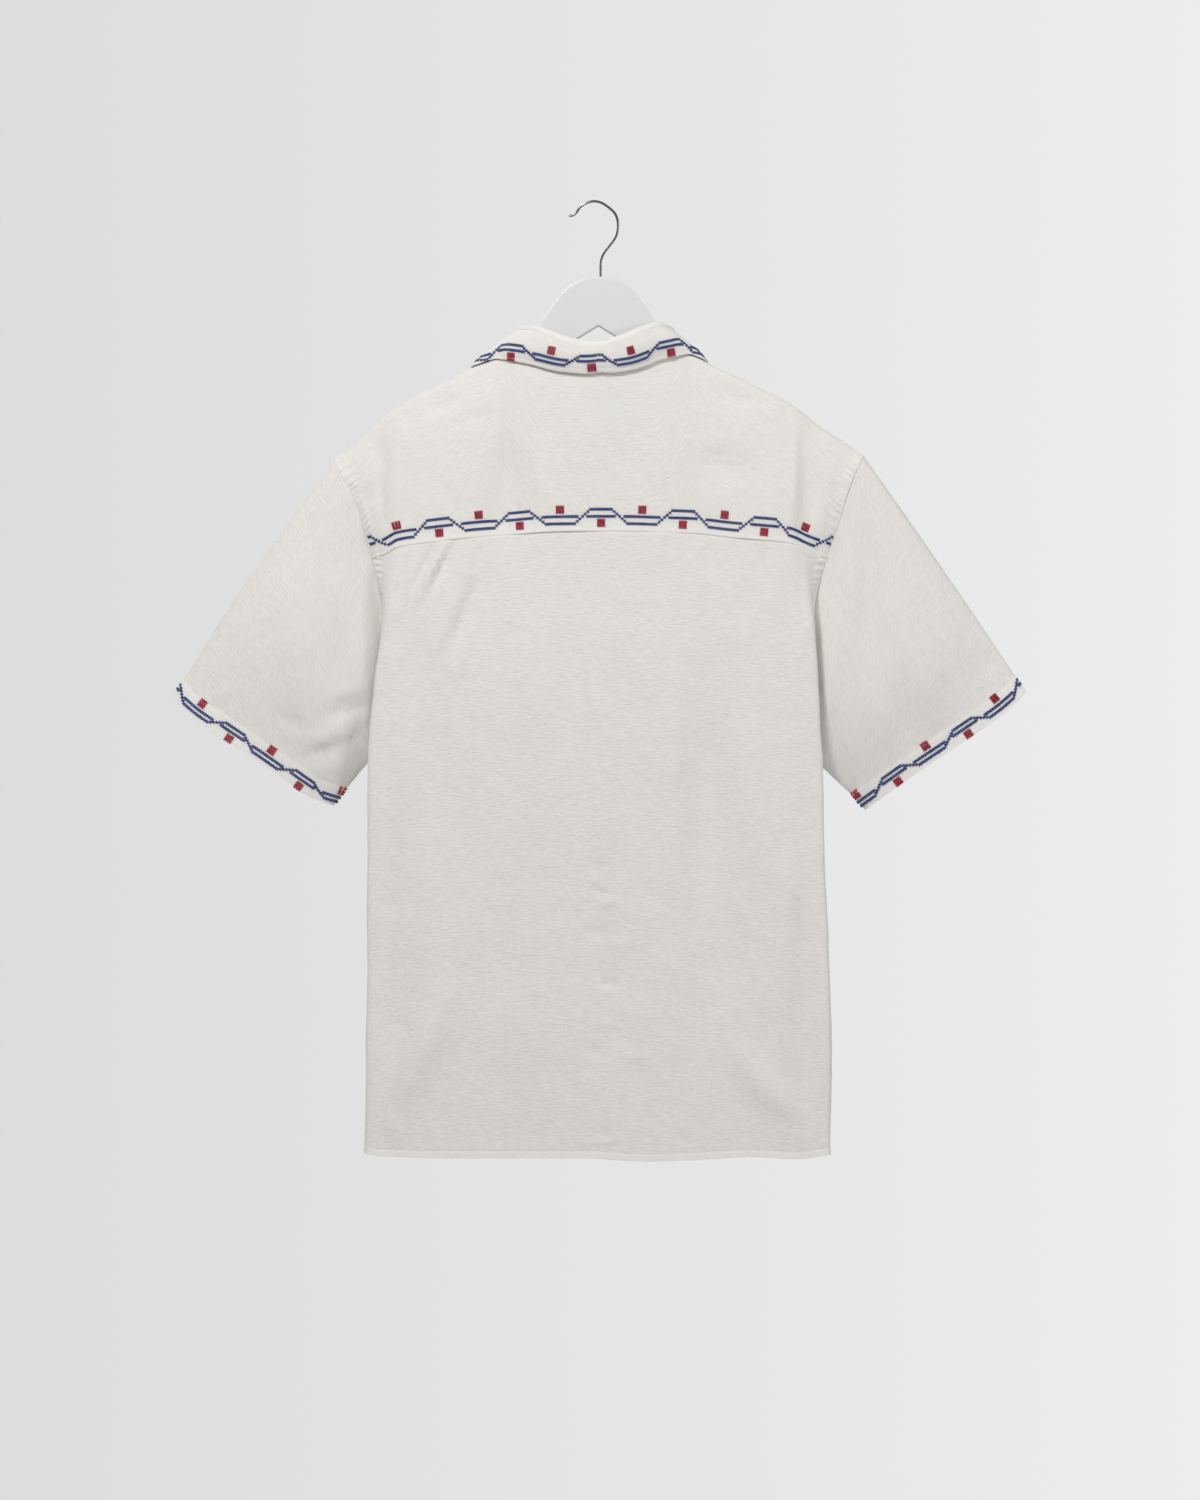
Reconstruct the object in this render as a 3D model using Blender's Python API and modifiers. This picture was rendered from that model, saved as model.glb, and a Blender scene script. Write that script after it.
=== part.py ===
"""Short-sleeve camp-collar shirt hanging on a flat hanger, in metres, +Z up.

The shirt's back faces -Y and its fronts face +Y. The origin is the underside of the hook's
crown, where a rail carries the hanger. Tables are in millimetres from that origin. Each cloth
piece is one open surface, the outer face of the cloth, thickened inwards.
"""

import math

import bmesh
import bpy
from mathutils import Vector

MM = 0.001
BACK, FRONT = -1, 1
LEFT, RIGHT = -1, 1

# Cloth and seams
CLOTH = 1.2
SEAM_GAP = 0.3
FRONT_SEAM_GAP = 0.8

# Shoulder line, where the cloth turns over the hanger, which hangs a little higher on its left:
# distance from the middle, left height, right height
CREST = ((0, -112, -112), (40, -121, -122), (80, -137, -140.5), (110, -151.5, -156),
         (130, -160.5, -165), (152, -172.5, -176.5), (175, -184, -187.5), (195, -196.5, -198.5),
         (212, -207, -207.5), (233, -221.5, -221), (246, -233.5, -233), (253, -243, -242))
CREST_ROUND = 8.5
DROP_LENGTH = 60

# How far the cloth stands off the hanger's plane: height, back, front
DEPTH = ((-120, 24, 22), (-200, 26, 24), (-313, 28, 26), (-434, 34, 31), (-529, 37, 33),
         (-700, 40, 36), (-904, 43, 39))
MIDDLE_CROWN = 4

# Upright folds that edge the body: height, left x, right x
FOLD_EDGE = ((-180, -245, 235), (-206, -206, 195), (-256, -201, 190), (-327, -194, 185),
             (-368, -203, 194), (-401, -207, 203), (-446, -215, 208), (-496, -220, 210.5),
             (-529, -221.5, 213), (-624, -222, 214.5), (-700, -222, 218.5), (-814, -223, 219.5),
             (-910, -224, 219.5))
FOLD_ROUND = 9

# Armhole seams, alike on back and front: height, x, distance from the hanger's plane
ARMHOLE = {
    LEFT: ((-244, -252, 0), (-247.5, -250.5, 5), (-262, -243, 9), (-280, -234, 11),
           (-296, -227, 11), (-317, -221.5, 10), (-338, -216, 8), (-363, -210, 6),
           (-385, -206, 5), (-415, -204, 5), (-450, -205, 5), (-487, -208.5, 4.5),
           (-512, -211.5, 2.5), (-522.5, -213, 0)),
    RIGHT: ((-240, 250, 0), (-243.5, 248.5, 5), (-256, 242.5, 9), (-280, 233.5, 11),
            (-308, 225, 10.5), (-322, 219.5, 9.5), (-337, 214.5, 8), (-358, 209, 6),
            (-385, 203, 5), (-415, 199.5, 5), (-453, 198.5, 5), (-491, 200.5, 4.5),
            (-519, 204, 2.5), (-530, 205, 0)),
}
# Side seams below the armholes: height, left x, right x
SIDE_SEAM = ((-520, -213, 205), (-560, -209, 201), (-640, -208, 201), (-800, -209, 205),
             (-910, -212, 207))

# Yoke seam across the back: x, height
YOKE_SEAM = ((-216, -338.5), (-205, -335), (-193, -328), (-172, -324.7), (-139, -320.6),
             (-106, -317.3), (-74, -315.4), (-41, -313.3), (19, -312.9), (54, -313.8),
             (90, -315), (126, -318.9), (163, -322), (179, -323.8), (187, -326.4), (199, -332.5),
             (215, -338))
NECK_WRAP, ARM_WRAP = 14, 21

# Hem: x, height
HEM = ((-224, -900), (-205, -903), (-140, -904.5), (-20, -904.5), (45, -907.5), (95, -906),
       (140, -903.5), (185, -905.5), (220, -901))

# Neck opening
NECK_X = -4
NECK_HALF = 80
NECK_BACK = -157
NECK_FRONT = -236
NECK_END = 86.5
NECK_SQUARE = 0.9
NECK_SWELL = 7
NECK_SWELL_REACH = 60

# Front closing
LAP = 15
LAP_STEP = 1.7
LAP_BLEND = 26

# Largest folds of the back, yoke and fronts: side, x0, z0, x1, z1, half width, height (+ out)
FOLDS = (
    (BACK, -118, -332, -165, -452, 9, 3.0),
    (BACK, -106, -336, -150, -446, 9, -3.2),
    (BACK, -150, -336, -176, -430, 10, 2.2),
    (BACK, -84, -215, -92, -345, 20, -3.5),
    (BACK, 100, -235, 148, -262, 16, -2.4),
    (BACK, 160, -240, 166, -330, 18, 2.2),
    (BACK, -40, -340, -62, -700, 26, 2.6),
    (BACK, 20, -345, 12, -900, 34, -2.4),
    (BACK, 96, -350, 112, -880, 24, -4.0),
    (BACK, 165, -480, 178, -880, 22, 3.6),
    (BACK, -196, -560, -206, -850, 14, -3.2),
    (BACK, -120, -620, -190, -890, 20, 3.6),
    (BACK, 120, -780, 196, -885, 14, 2.6),
    (FRONT, -120, -300, -140, -890, 24, 4.5),
    (FRONT, -70, -330, -82, -890, 22, -4.0),
    (FRONT, 82, -300, 70, -890, 24, -3.6),
    (FRONT, 135, -290, 150, -890, 26, 4.5),
    (FRONT, -185, -560, -190, -890, 16, -3.0),
    (FRONT, 188, -560, 192, -890, 16, -3.0),
)
FOLD_ENDS = 0.22

# Grid of each piece, in faces
SIDE_FACES, CORNER_FACES = 2, 3
YOKE_NECK, FRONT_NECK, SHOULDER_FACES = 7, 6, 6
OVER_DROPS = (0, 2.5, 8.5)
DOWN_STEPS = (0, 0.09, 0.2, 0.35, 0.55, 0.77, 1)
ARM_STEPS = (0.16, 0.32, 0.47, 0.61, 0.74, 0.85, 0.94, 1)
HEM_ROWS, SLEEVE_ROWS = 11, 9
LEVEL_START = -338.5

# Sleeves: outer and inner corner of each cuff (x, z), half thicknesses
CUFF = {LEFT: ((-406, -469.3), (-253.7, -572)), RIGHT: ((405, -464.6), (252.7, -576))}
CUFF_HALF, SLEEVE_SWELL, SLEEVE_GAP = 13, 13, 0.35
# How far each sleeve's top fold and cuff edge bow out past a straight line. For the cuffs: share of
# the way from the outer corner to the inner one, left bow, right bow.
SLEEVE_BOW = {LEFT: 4.4, RIGHT: 0.8}
CUFF_BOW = ((0, 0, 0), (0.07, 3.6, 2.6), (0.18, 5.4, 4.0), (0.35, 5.4, 3.0), (0.53, 4.9, 1.6),
            (0.7, 5.5, 0.4), (0.86, 6.0, 0), (0.95, 3.0, 0), (1, 0, 0))

# Folds of the sleeves: hand, side, x0, z0, x1, z1, half width, height (+ out)
SLEEVE_FOLDS = (
    (LEFT, BACK, -224, -488, -275, -520, 7, 4.2),
    (LEFT, BACK, -226, -505, -268, -528, 7, -3.6),
    (LEFT, BACK, -222, -470, -262, -492, 8, -3.0),
    (LEFT, BACK, -226, -540, -270, -538, 8, 3.4),
    (LEFT, BACK, -228, -340, -228, -450, 12, -3.2),
    (RIGHT, BACK, 262, -290, 264, -500, 14, -4.0),
    (RIGHT, BACK, 300, -400, 322, -520, 16, 3.0),
    (RIGHT, BACK, 350, -440, 385, -425, 12, -2.6),
    (LEFT, FRONT, -240, -470, -300, -500, 12, 3.2),
    (RIGHT, FRONT, 240, -470, 300, -500, 12, 3.2),
)

# Collar sections. The key runs with the neck seam, from 180 at the left front end through 0 at the
# middle of the back to -180 at the right front end. Roll: top of the roll, with its plan angle,
# 0 at the back and 180 in front. Edge: the outer edge's x and its run of cloth from the shoulder
# line, + down the back, and its height off the shirt.
COLLAR_COLUMNS = ("key", "roll_x", "roll_y", "roll_z", "radius", "plan_angle", "edge_x",
                  "edge_turn", "off")
COLLAR = (
    (180, -7, 26.5, -229, 1.9, 172, -50, -176, 3.0),
    (150, -42, 26, -214, 2.2, 165, -86, -124, 3.2),
    (120, -71, 20, -176, 2.8, 140, -117, -68, 3.6),
    (98, -80, 10, -138, 3.4, 112, -127, -28, 5.6),
    (82, -78, -2, -118, 3.8, 90, -121.5, 0, 5.2),
    (62, -67, -15, -117.6, 3.8, 60, -99, 8, 4.6),
    (40, -46, -23, -122.6, 3.8, 34, -70, 26, 4.6),
    (18, -24, -27, -128.8, 3.8, 12, -36, 47, 4.6),
    (0, -3, -28, -131.2, 3.8, 0, -2, 55.5, 4.6),
    (-18, 16, -27, -126.2, 3.8, -12, 30, 46, 4.6),
    (-40, 38, -23, -118.2, 3.8, -34, 60, 24, 4.6),
    (-62, 57, -15, -113.6, 3.8, -60, 84, 7, 4.6),
    (-82, 70, -2, -116, 3.8, -90, 101, 0, 5.2),
    (-98, 72, 10, -138, 3.4, -112, 117, -26, 5.6),
    (-120, 64, 20, -176, 2.8, -140, 109, -66, 3.6),
    (-150, 36, 26, -214, 2.2, -165, 80, -122, 3.2),
    (-180, 2, 26.5, -229, 1.9, -172, 46, -174, 3.0),
)
COLLAR_END = 180
COLLAR_STAND_FACES, COLLAR_ROLL_FACES, COLLAR_FALL_FACES = 2, 4, 5
FALL_BULGE = 2.0

# Buttons down the front edge
BUTTON_X, BUTTON_FIRST, BUTTON_STEP, BUTTON_COUNT = 0, -262, -112, 6
BUTTON_RADIUS, BUTTON_THICK, BUTTON_RIM = 5.7, 2.4, 0.5
BUTTON_SEAT = 0.45

# Woven neck label inside the yoke
LABEL_SIZE = (66, 26)
LABEL_MIDDLE = (-2.5, -202)
LABEL_THICK, LABEL_GAP = 0.6, 0.85

# Hanger outline, right half: x, z down the dome, x along the arm, whose top stays a set height
# below the shoulder line, then x, z round the arm's end and back under to the notch.
HANGER_DOME = ((0, -70.3), (14, -72.2), (27, -78.5), (38, -90), (49, -105), (56.5, -116),
               (62, -126), (66, -134.5), (71, -144.5), (80, -151.5))
HANGER_ARM = (100, 115, 130, 150, 170, 182)
ARM_DROP = 3.5
HANGER_END = ((188, -204.5), (190, -210), (188.5, -216), (181, -219))
HANGER_NOTCH = ((150, -205), (120, -188), (60, -153.5), (22, -129), (12, -122.5), (0, -117.5))
HANGER_X = -1.5
HANGER_HALF, HANGER_BEVEL = 5.5, 2.2

# Hook wire, from its tip over the crown and down into the hanger: x, z
HOOK = ((-29.7, -12.0), (-25.8, -11.8), (-22.2, -8.6), (-19.2, -4.3), (-14.8, -1.0),
        (-9.8, 1.0), (-4.7, 1.6), (1.1, 0.2), (6.3, -2.9), (10.6, -6.2), (14.3, -10.2),
        (16.4, -15.2), (17.1, -21.0), (16.4, -27.6), (14.6, -32.7), (11.3, -37.7),
        (6.9, -43.2), (3.3, -48.3), (1.4, -53.0), (0.7, -58.0), (0.7, -70.0), (0.7, -84.0))
HOOK_RADIUS = 1.2
BORE_DEPTH = 86


def smoothstep(t):
    t = min(1.0, max(0.0, t))
    return t * t * (3 - 2 * t)


def mix(a, b, t):
    return a + (b - a) * t


def spline(rows, column=1):
    """A smooth function of each row's first number through the numbers of one column."""
    rows = sorted(rows)
    keys = [row[0] for row in rows]
    values = [row[column] for row in rows]
    steps = [(values[i + 1] - values[i]) / (keys[i + 1] - keys[i]) for i in range(len(keys) - 1)]
    slopes = [steps[0]]
    for before, after in zip(steps, steps[1:]):
        slopes.append(0.0 if before * after <= 0 else 2 * before * after / (before + after))
    slopes.append(steps[-1])

    def at(key):
        key = min(max(key, keys[0]), keys[-1])
        i = next((n for n in range(len(keys) - 1) if key <= keys[n + 1]), len(keys) - 2)
        width = keys[i + 1] - keys[i]
        t = (key - keys[i]) / width
        return (values[i] * (1 + 2 * t) * (1 - t) ** 2 + slopes[i] * width * t * (1 - t) ** 2
                + values[i + 1] * t * t * (3 - 2 * t) + slopes[i + 1] * width * t * t * (t - 1))

    return at


crest_side = {LEFT: spline(CREST, 1), RIGHT: spline(CREST, 2)}
stand_off = {BACK: spline(DEPTH, 1), FRONT: spline(DEPTH, 2)}
fold_edge = {LEFT: spline(FOLD_EDGE, 1), RIGHT: spline(FOLD_EDGE, 2)}
side_seam = {LEFT: spline(SIDE_SEAM, 1), RIGHT: spline(SIDE_SEAM, 2)}
armhole_x = {hand: spline(ARMHOLE[hand], 1) for hand in (LEFT, RIGHT)}
armhole_depth = {hand: spline(ARMHOLE[hand], 2) for hand in (LEFT, RIGHT)}
yoke_seam = spline(YOKE_SEAM)
hem = spline(HEM)
cuff_bow = {LEFT: spline(CUFF_BOW, 1), RIGHT: spline(CUFF_BOW, 2)}


def crest_height(x):
    """Height of the shoulder line at x."""
    return crest_side[LEFT if x < 0 else RIGHT](abs(x))


def armhole_heights(hand):
    """Heights where pieces have a point on the armhole: from its top to its foot."""
    top, foot = ARMHOLE[hand][0][0], ARMHOLE[hand][-1][0]
    front = top - drop_of(ARM_WRAP)
    return ([top - drop for drop in OVER_DROPS]
            + [mix(front, LEVEL_START, step) for step in DOWN_STEPS]
            + [mix(LEVEL_START, foot, step) for step in ARM_STEPS])


def seam_point(hand, side, z):
    """Where the cloth of a side ends at a height: at the armhole, or at the side seam below."""
    inside, parted = SEAM_GAP / 2, side * SEAM_GAP / 2
    if z >= ARMHOLE[hand][-1][0]:
        return armhole_x[hand](z) - hand * inside, side * armhole_depth[hand](z) + parted
    return side_seam[hand](z) - hand * inside, parted


def fold_height(folds, side, x, z):
    """How far the folds of one side push the cloth out at a place."""
    total = 0.0
    for fold_side, x0, z0, x1, z1, width, height in folds:
        if fold_side != side:
            continue
        along = Vector((x1 - x0, z1 - z0))
        reach = (Vector((x, z)) - Vector((x0, z0))).dot(along) / along.length_squared
        across = abs(along.x * (z - z0) - along.y * (x - x0)) / along.length
        ends = smoothstep(reach / FOLD_ENDS) * smoothstep((1 - reach) / FOLD_ENDS)
        total += height * ends * math.exp(-((across / width) ** 2))
    return total


def drop_of(turn):
    """Height lost below the shoulder line by cloth that has run that far over it."""
    quarter = CREST_ROUND * math.pi / 2
    if abs(turn) < quarter:
        return CREST_ROUND * (1 - math.cos(turn / CREST_ROUND))
    return CREST_ROUND + abs(turn) - quarter


def turn_of(drop):
    """The run of cloth over the shoulder line that loses that much height."""
    if drop < CREST_ROUND:
        return CREST_ROUND * math.acos(1 - max(0.0, drop) / CREST_ROUND)
    return CREST_ROUND * math.pi / 2 + drop - CREST_ROUND


def skin(x, turn):
    """A point of the upper shirt: turn is the run of cloth from the shoulder line, + down the back."""
    side = BACK if turn > 0 else FRONT
    hand = LEFT if x < 0 else RIGHT
    drop = drop_of(turn)
    z = crest_height(x) - drop
    cap = CREST_ROUND * math.sin(min(abs(turn) / CREST_ROUND, math.pi / 2))
    fall = max(0.0, drop - CREST_ROUND)
    depth = cap + (stand_off[side](z) - CREST_ROUND) * (1 - math.exp(-fall / DROP_LENGTH))
    near = ((x - NECK_X) ** 2 + (z - NECK_BACK) ** 2) / NECK_SWELL_REACH**2
    depth += NECK_SWELL * math.exp(-near) * (cap / CREST_ROUND)
    low = min(z, ARMHOLE[hand][0][0])
    edge, outer = abs(fold_edge[hand](z)), abs(armhole_x[hand](low))
    beyond = (abs(x) - edge) / max(outer - edge, 1.0)
    if beyond > 0:
        target = max(armhole_depth[hand](low), cap)
        depth = mix(depth, target, math.sin(math.pi / 2 * min(1, beyond)))
    depth += fold_height(FOLDS, side, x, z) * smoothstep(fall / 20) * (1 - smoothstep(beyond * 2))
    return Vector((x, side * depth, z))


def rounded_corner(a, corner, b, radius, count):
    """Points that take the corner of a-corner-b in a smooth bend, both ends included."""
    to_a, to_b = a - corner, b - corner
    start = corner + to_a.normalized() * min(radius, to_a.length * 0.45)
    end = corner + to_b.normalized() * min(radius, to_b.length * 0.45)
    points = []
    for n in range(count + 1):
        t = n / count
        points.append(start * (1 - t) ** 2 + corner * 2 * t * (1 - t) + end * t * t)
    return points


def half_section(hand, side, z, inner_x, neck_faces):
    """One side's cloth at a height, from inner_x out over the upright fold to its seam."""
    flat_faces = neck_faces + SHOULDER_FACES
    middle_depth = stand_off[side](z)
    edge_x = fold_edge[hand](z)
    seam = Vector(seam_point(hand, side, z))
    corner = Vector((edge_x, side * (middle_depth - MIDDLE_CROWN)))
    inner = Vector((inner_x, side * middle_depth))
    bend = rounded_corner(inner, corner, seam, FOLD_ROUND, CORNER_FACES)
    points = []
    for n in range(flat_faces):
        x = mix(inner_x, bend[0].x, n / flat_faces)
        depth = middle_depth - MIDDLE_CROWN * (x / edge_x) ** 2
        points.append(Vector((x, side * depth)))
    points += bend
    for n in range(1, SIDE_FACES + 1):
        points.append(bend[-1].lerp(seam, n / SIDE_FACES))
    for n, point in enumerate(points):
        ease = 1 - smoothstep((n - flat_faces + 1) / CORNER_FACES)
        point.y += side * fold_height(FOLDS, side, point.x, z) * ease
    return points


def back_section(z):
    """The back's cloth at a height, from the left seam to the right seam."""
    left = half_section(LEFT, BACK, z, 0.0, YOKE_NECK)
    right = half_section(RIGHT, BACK, z, 0.0, YOKE_NECK)
    return left[::-1] + right[1:]


def front_section(hand, z):
    """A front's cloth at a height, from its edge on the lap to its side."""
    points = half_section(hand, FRONT, z, -hand * LAP, FRONT_NECK)
    if hand == RIGHT:
        for point in points:
            point.y -= lap_tuck(point.x)
    return points


def lap_tuck(x):
    """How far the right front lies below the left one, under the lap."""
    return LAP_STEP * (1 - smoothstep((x - LAP - 2) / LAP_BLEND))


def lower_points(section, starts, hands):
    """A panel from the given starts to the hem, with rows that meet the seams' own heights."""
    ends = [hem(point.x) for point in section(HEM[3][1])]
    shares = []
    for hand in hands:
        seam = armhole_heights(hand)[len(OVER_DROPS) + len(DOWN_STEPS) - 1:]
        foot, low = seam[-1], hem(side_seam[hand](HEM[0][1]))
        seam += [mix(foot, low, n / HEM_ROWS) for n in range(1, HEM_ROWS + 1)]
        shares.append([(z - seam[0]) / (seam[-1] - seam[0]) for z in seam])
    rows = []
    for n in range(len(shares[0])):
        row = []
        for c, (start, end) in enumerate(zip(starts, ends)):
            share = mix(shares[0][n], shares[-1][n], c / (len(starts) - 1))
            z = mix(start, end, share)
            x, y = section(z)[c]
            row.append(Vector((x, y, z)))
        rows.append(row)
    return rows


def back_points():
    starts = [yoke_seam(point.x) - SEAM_GAP / 2 for point in back_section(LEVEL_START)]
    return lower_points(back_section, starts, (LEFT, RIGHT))


def neck_back(hand, around):
    """A place on the yoke's neckline: around runs from 0 at the middle to 1 at the front seam."""
    angle = around * math.pi / 2
    deepest = turn_of(crest_height(NECK_X) - NECK_BACK)
    x = NECK_X + hand * NECK_HALF * math.sin(angle)
    return x, -NECK_WRAP + (deepest + NECK_WRAP) * math.cos(angle) ** NECK_SQUARE


def front_seam(hand):
    """The yoke's front seam from the neck to the armhole, as x and turn."""
    corner = NECK_X + hand * NECK_HALF
    ridge = fold_edge[hand](-212)
    outer = armhole_x[hand](armhole_heights(hand)[len(OVER_DROPS)]) - hand * SEAM_GAP / 2
    stops = [mix(corner, ridge - hand * 7, n / SHOULDER_FACES) for n in range(SHOULDER_FACES)]
    stops += [ridge + hand * mix(-7, 7, n / CORNER_FACES) for n in range(CORNER_FACES)]
    stops += [mix(ridge + hand * 7, outer, n / SIDE_FACES) for n in range(SIDE_FACES + 1)]
    return [(x, -mix(NECK_WRAP, ARM_WRAP, (x - corner) / (outer - corner))) for x in stops]


def yoke_points(seam_row):
    """The yoke: rows run from its front seams and the neckline over the shoulders to the back."""
    middle = len(seam_row) // 2
    over = [turn_of(drop) for drop in OVER_DROPS]
    rows = []
    for n in range(2 * len(OVER_DROPS) + len(DOWN_STEPS)):
        row = []
        for c, point in enumerate(seam_row):
            hand, out = (LEFT, middle - c) if c < middle else (RIGHT, c - middle)
            goal_z = point.z + SEAM_GAP
            goal = turn_of(crest_height(point.x) - goal_z)
            if out < YOKE_NECK:
                top_x, top = neck_back(hand, out / YOKE_NECK)
                share = (yoke_turn(n, -NECK_WRAP, goal, over) + NECK_WRAP) / (goal + NECK_WRAP)
                turn = mix(top, goal, share)
            else:
                top_x, top = front_seam(hand)[out - YOKE_NECK]
                turn = yoke_turn(n, top, goal, over)
                share = (turn - top) / (goal - top)
            place = skin(mix(top_x, point.x, share**0.5), turn)
            place.y += (point.y - skin(point.x, goal).y) * smoothstep(share)
            row.append(place)
        rows.append(row)
    for hand, edge in ((LEFT, 0), (RIGHT, -1)):
        heights = armhole_heights(hand)
        reach = len(OVER_DROPS)
        sides = [(z, FRONT) for z in heights[reach:0:-1]] + [(heights[0], 0)]
        sides += [(z, BACK) for z in heights[1:reach + len(DOWN_STEPS) - 1]]
        sides += [(seam_row[edge].z + SEAM_GAP, BACK)]
        seat_on_armhole(rows, hand, edge, sides)
    return rows


def yoke_turn(n, top, goal, over):
    """The run of cloth at a row of the yoke, for a column that starts before the shoulder line."""
    before = len(over)
    if n < before:
        return mix(top, 0.0, n / before)
    if n < before + len(over):
        return over[n - before]
    return mix(ARM_WRAP, goal, DOWN_STEPS[n - before - len(over)])


def seat_on_armhole(rows, hand, edge, places):
    """Lays an end column on the armhole seam and eases the next columns after it."""
    reach = SIDE_FACES + CORNER_FACES
    step = 1 if edge == 0 else -1
    for row, (z, side) in zip(rows, places):
        x = armhole_x[hand](z) - hand * SEAM_GAP / 2
        target = Vector((x, side * (armhole_depth[hand](z) + SEAM_GAP / 2), z))
        shift = target - row[edge]
        for c in range(reach):
            row[edge + step * c] += shift * (1 - smoothstep(c / reach))


def front_points(hand):
    """A front: its top edge is the neckline and the yoke's front seam, its foot is the hem."""
    level = front_section(hand, LEVEL_START)
    corner_x, corner_turn = front_seam(hand)[0]
    corner_z = crest_height(corner_x) - drop_of(corner_turn)
    tops = []
    for n, point in enumerate(level):
        if n >= FRONT_NECK:
            x, turn = front_seam(hand)[n - FRONT_NECK]
            tops.append((x, turn - FRONT_SEAM_GAP))
        elif point.x * hand < 0:
            tops.append((point.x, -turn_of(crest_height(point.x) - NECK_FRONT)))
        else:
            angle = math.radians(NECK_END) * (1 - (n - 1) / (FRONT_NECK - 1))
            x = hand * (NECK_HALF + hand * NECK_X) * math.cos(angle)
            z = mix(corner_z, NECK_FRONT, math.sin(angle) ** 1.1)
            tops.append((x, -turn_of(crest_height(x) - z)))
    rows = []
    for share in DOWN_STEPS[:-1]:
        row = []
        for point, (top_x, top) in zip(level, tops):
            goal = -turn_of(crest_height(point.x) - LEVEL_START)
            x = mix(top_x, point.x, share**0.5)
            place = skin(x, mix(top, goal, share))
            tuck = lap_tuck(point.x) if hand == RIGHT else 0.0
            place.y += (point.y + tuck - skin(point.x, goal).y) * smoothstep(share)
            place.y -= lap_tuck(x) if hand == RIGHT else 0.0
            row.append(place)
        rows.append(row)
    heights = armhole_heights(hand)[len(OVER_DROPS):]
    heights[0] -= FRONT_SEAM_GAP
    seat_on_armhole(rows, hand, -1, [(z, FRONT) for z in heights[:len(rows)]])
    starts = [LEVEL_START] * len(level)
    return rows + lower_points(lambda z: front_section(hand, z), starts, (hand,))


def sleeve_points(hand):
    """A sleeve: rings from the armhole to the cuff, each from its top fold down the back and up."""
    outer, inner = (Vector(corner) for corner in CUFF[hand])
    heights = armhole_heights(hand)
    top, foot = heights[0], heights[-1]
    ring = [(z, BACK) for z in heights] + [(z, FRONT) for z in heights[-2:0:-1]]
    folds = [fold[1:] for fold in SLEEVE_FOLDS if fold[0] == hand]
    out_of_cuff = hand * (inner - outer).orthogonal().normalized()
    top_fold = Vector((outer.x - armhole_x[hand](top), 0, outer.y - top)).normalized()
    rows = []
    for m in range(SLEEVE_ROWS + 1):
        t = (m / SLEEVE_ROWS) ** 1.15
        row = []
        for z, side in ring:
            share = (top - z) / (top - foot)
            even = (1 - math.cos(math.pi * heights.index(z) / (len(heights) - 1))) / 2
            share_out = mix(share, even, smoothstep(t))
            across = outer.lerp(inner, share_out)
            profile = (4 * share_out * (1 - share_out)) ** 0.5
            start = Vector((armhole_x[hand](z), side * armhole_depth[hand](z), z))
            across += out_of_cuff * cuff_bow[hand](share_out)
            end = Vector((across.x, side * CUFF_HALF * profile, across.y))
            along = (end - start).normalized()
            place = start.lerp(end, t)
            bow = SLEEVE_BOW[hand] * math.sin(math.pi * t) * (1 - share_out) ** 3
            place += Vector((hand * -top_fold.z, 0, hand * top_fold.x)) * bow
            if m == 0:
                place += Vector((along.x, 0, along.z)) * SLEEVE_GAP
            place.y = mix(start.y, end.y, smoothstep(t))
            place.y += side * SLEEVE_SWELL * profile**2 * math.sin(math.pi * t) ** 2
            near = smoothstep(t * 6) * smoothstep((1 - t) * 5 + 0.25)
            place.y += side * fold_height(folds, side, place.x, place.z) * near * profile
            row.append(place)
        row.append(row[0].copy())
        rows.append(row)
    return rows


def neckline(yoke, left, right):
    """Points of the three neck edges in order, from the left front round the back to the right."""
    middle = len(yoke[0]) // 2
    first = left[0][1:FRONT_NECK]
    back = yoke[0][middle - YOKE_NECK:middle + YOKE_NECK + 1]
    last = right[0][1:FRONT_NECK]
    return first + back + last[::-1]


def collar_points(neck):
    """The collar: columns stand on the neckline, rows go over the roll down to the outer edge."""
    table = {name: spline(COLLAR, column) for column, name in enumerate(COLLAR_COLUMNS)}
    columns = []
    last = len(neck) - 1
    for n, seam in enumerate(neck):
        facing = mix(COLLAR_END, -COLLAR_END, n / last)
        row = {name: table[name](facing) for name in COLLAR_COLUMNS[1:]}
        roll = Vector((row["roll_x"], row["roll_y"], row["roll_z"]))
        edge = skin(row["edge_x"], row["edge_turn"])
        edge += skin_normal(row["edge_x"], row["edge_turn"]) * row["off"]
        stand = seam + (roll - seam).normalized() * (SEAM_GAP + 0.3)
        columns.append(collar_profile(stand, roll, row["radius"], row["plan_angle"], edge))
    return [[column[n] for column in columns] for n in range(len(columns[0]))]


def skin_normal(x, turn):
    """The direction out of the cloth at a place of the upper shirt."""
    across = skin(x + 2, turn) - skin(x - 2, turn)
    down = skin(x, turn + 2) - skin(x, turn - 2)
    return down.cross(across).normalized()


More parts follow.
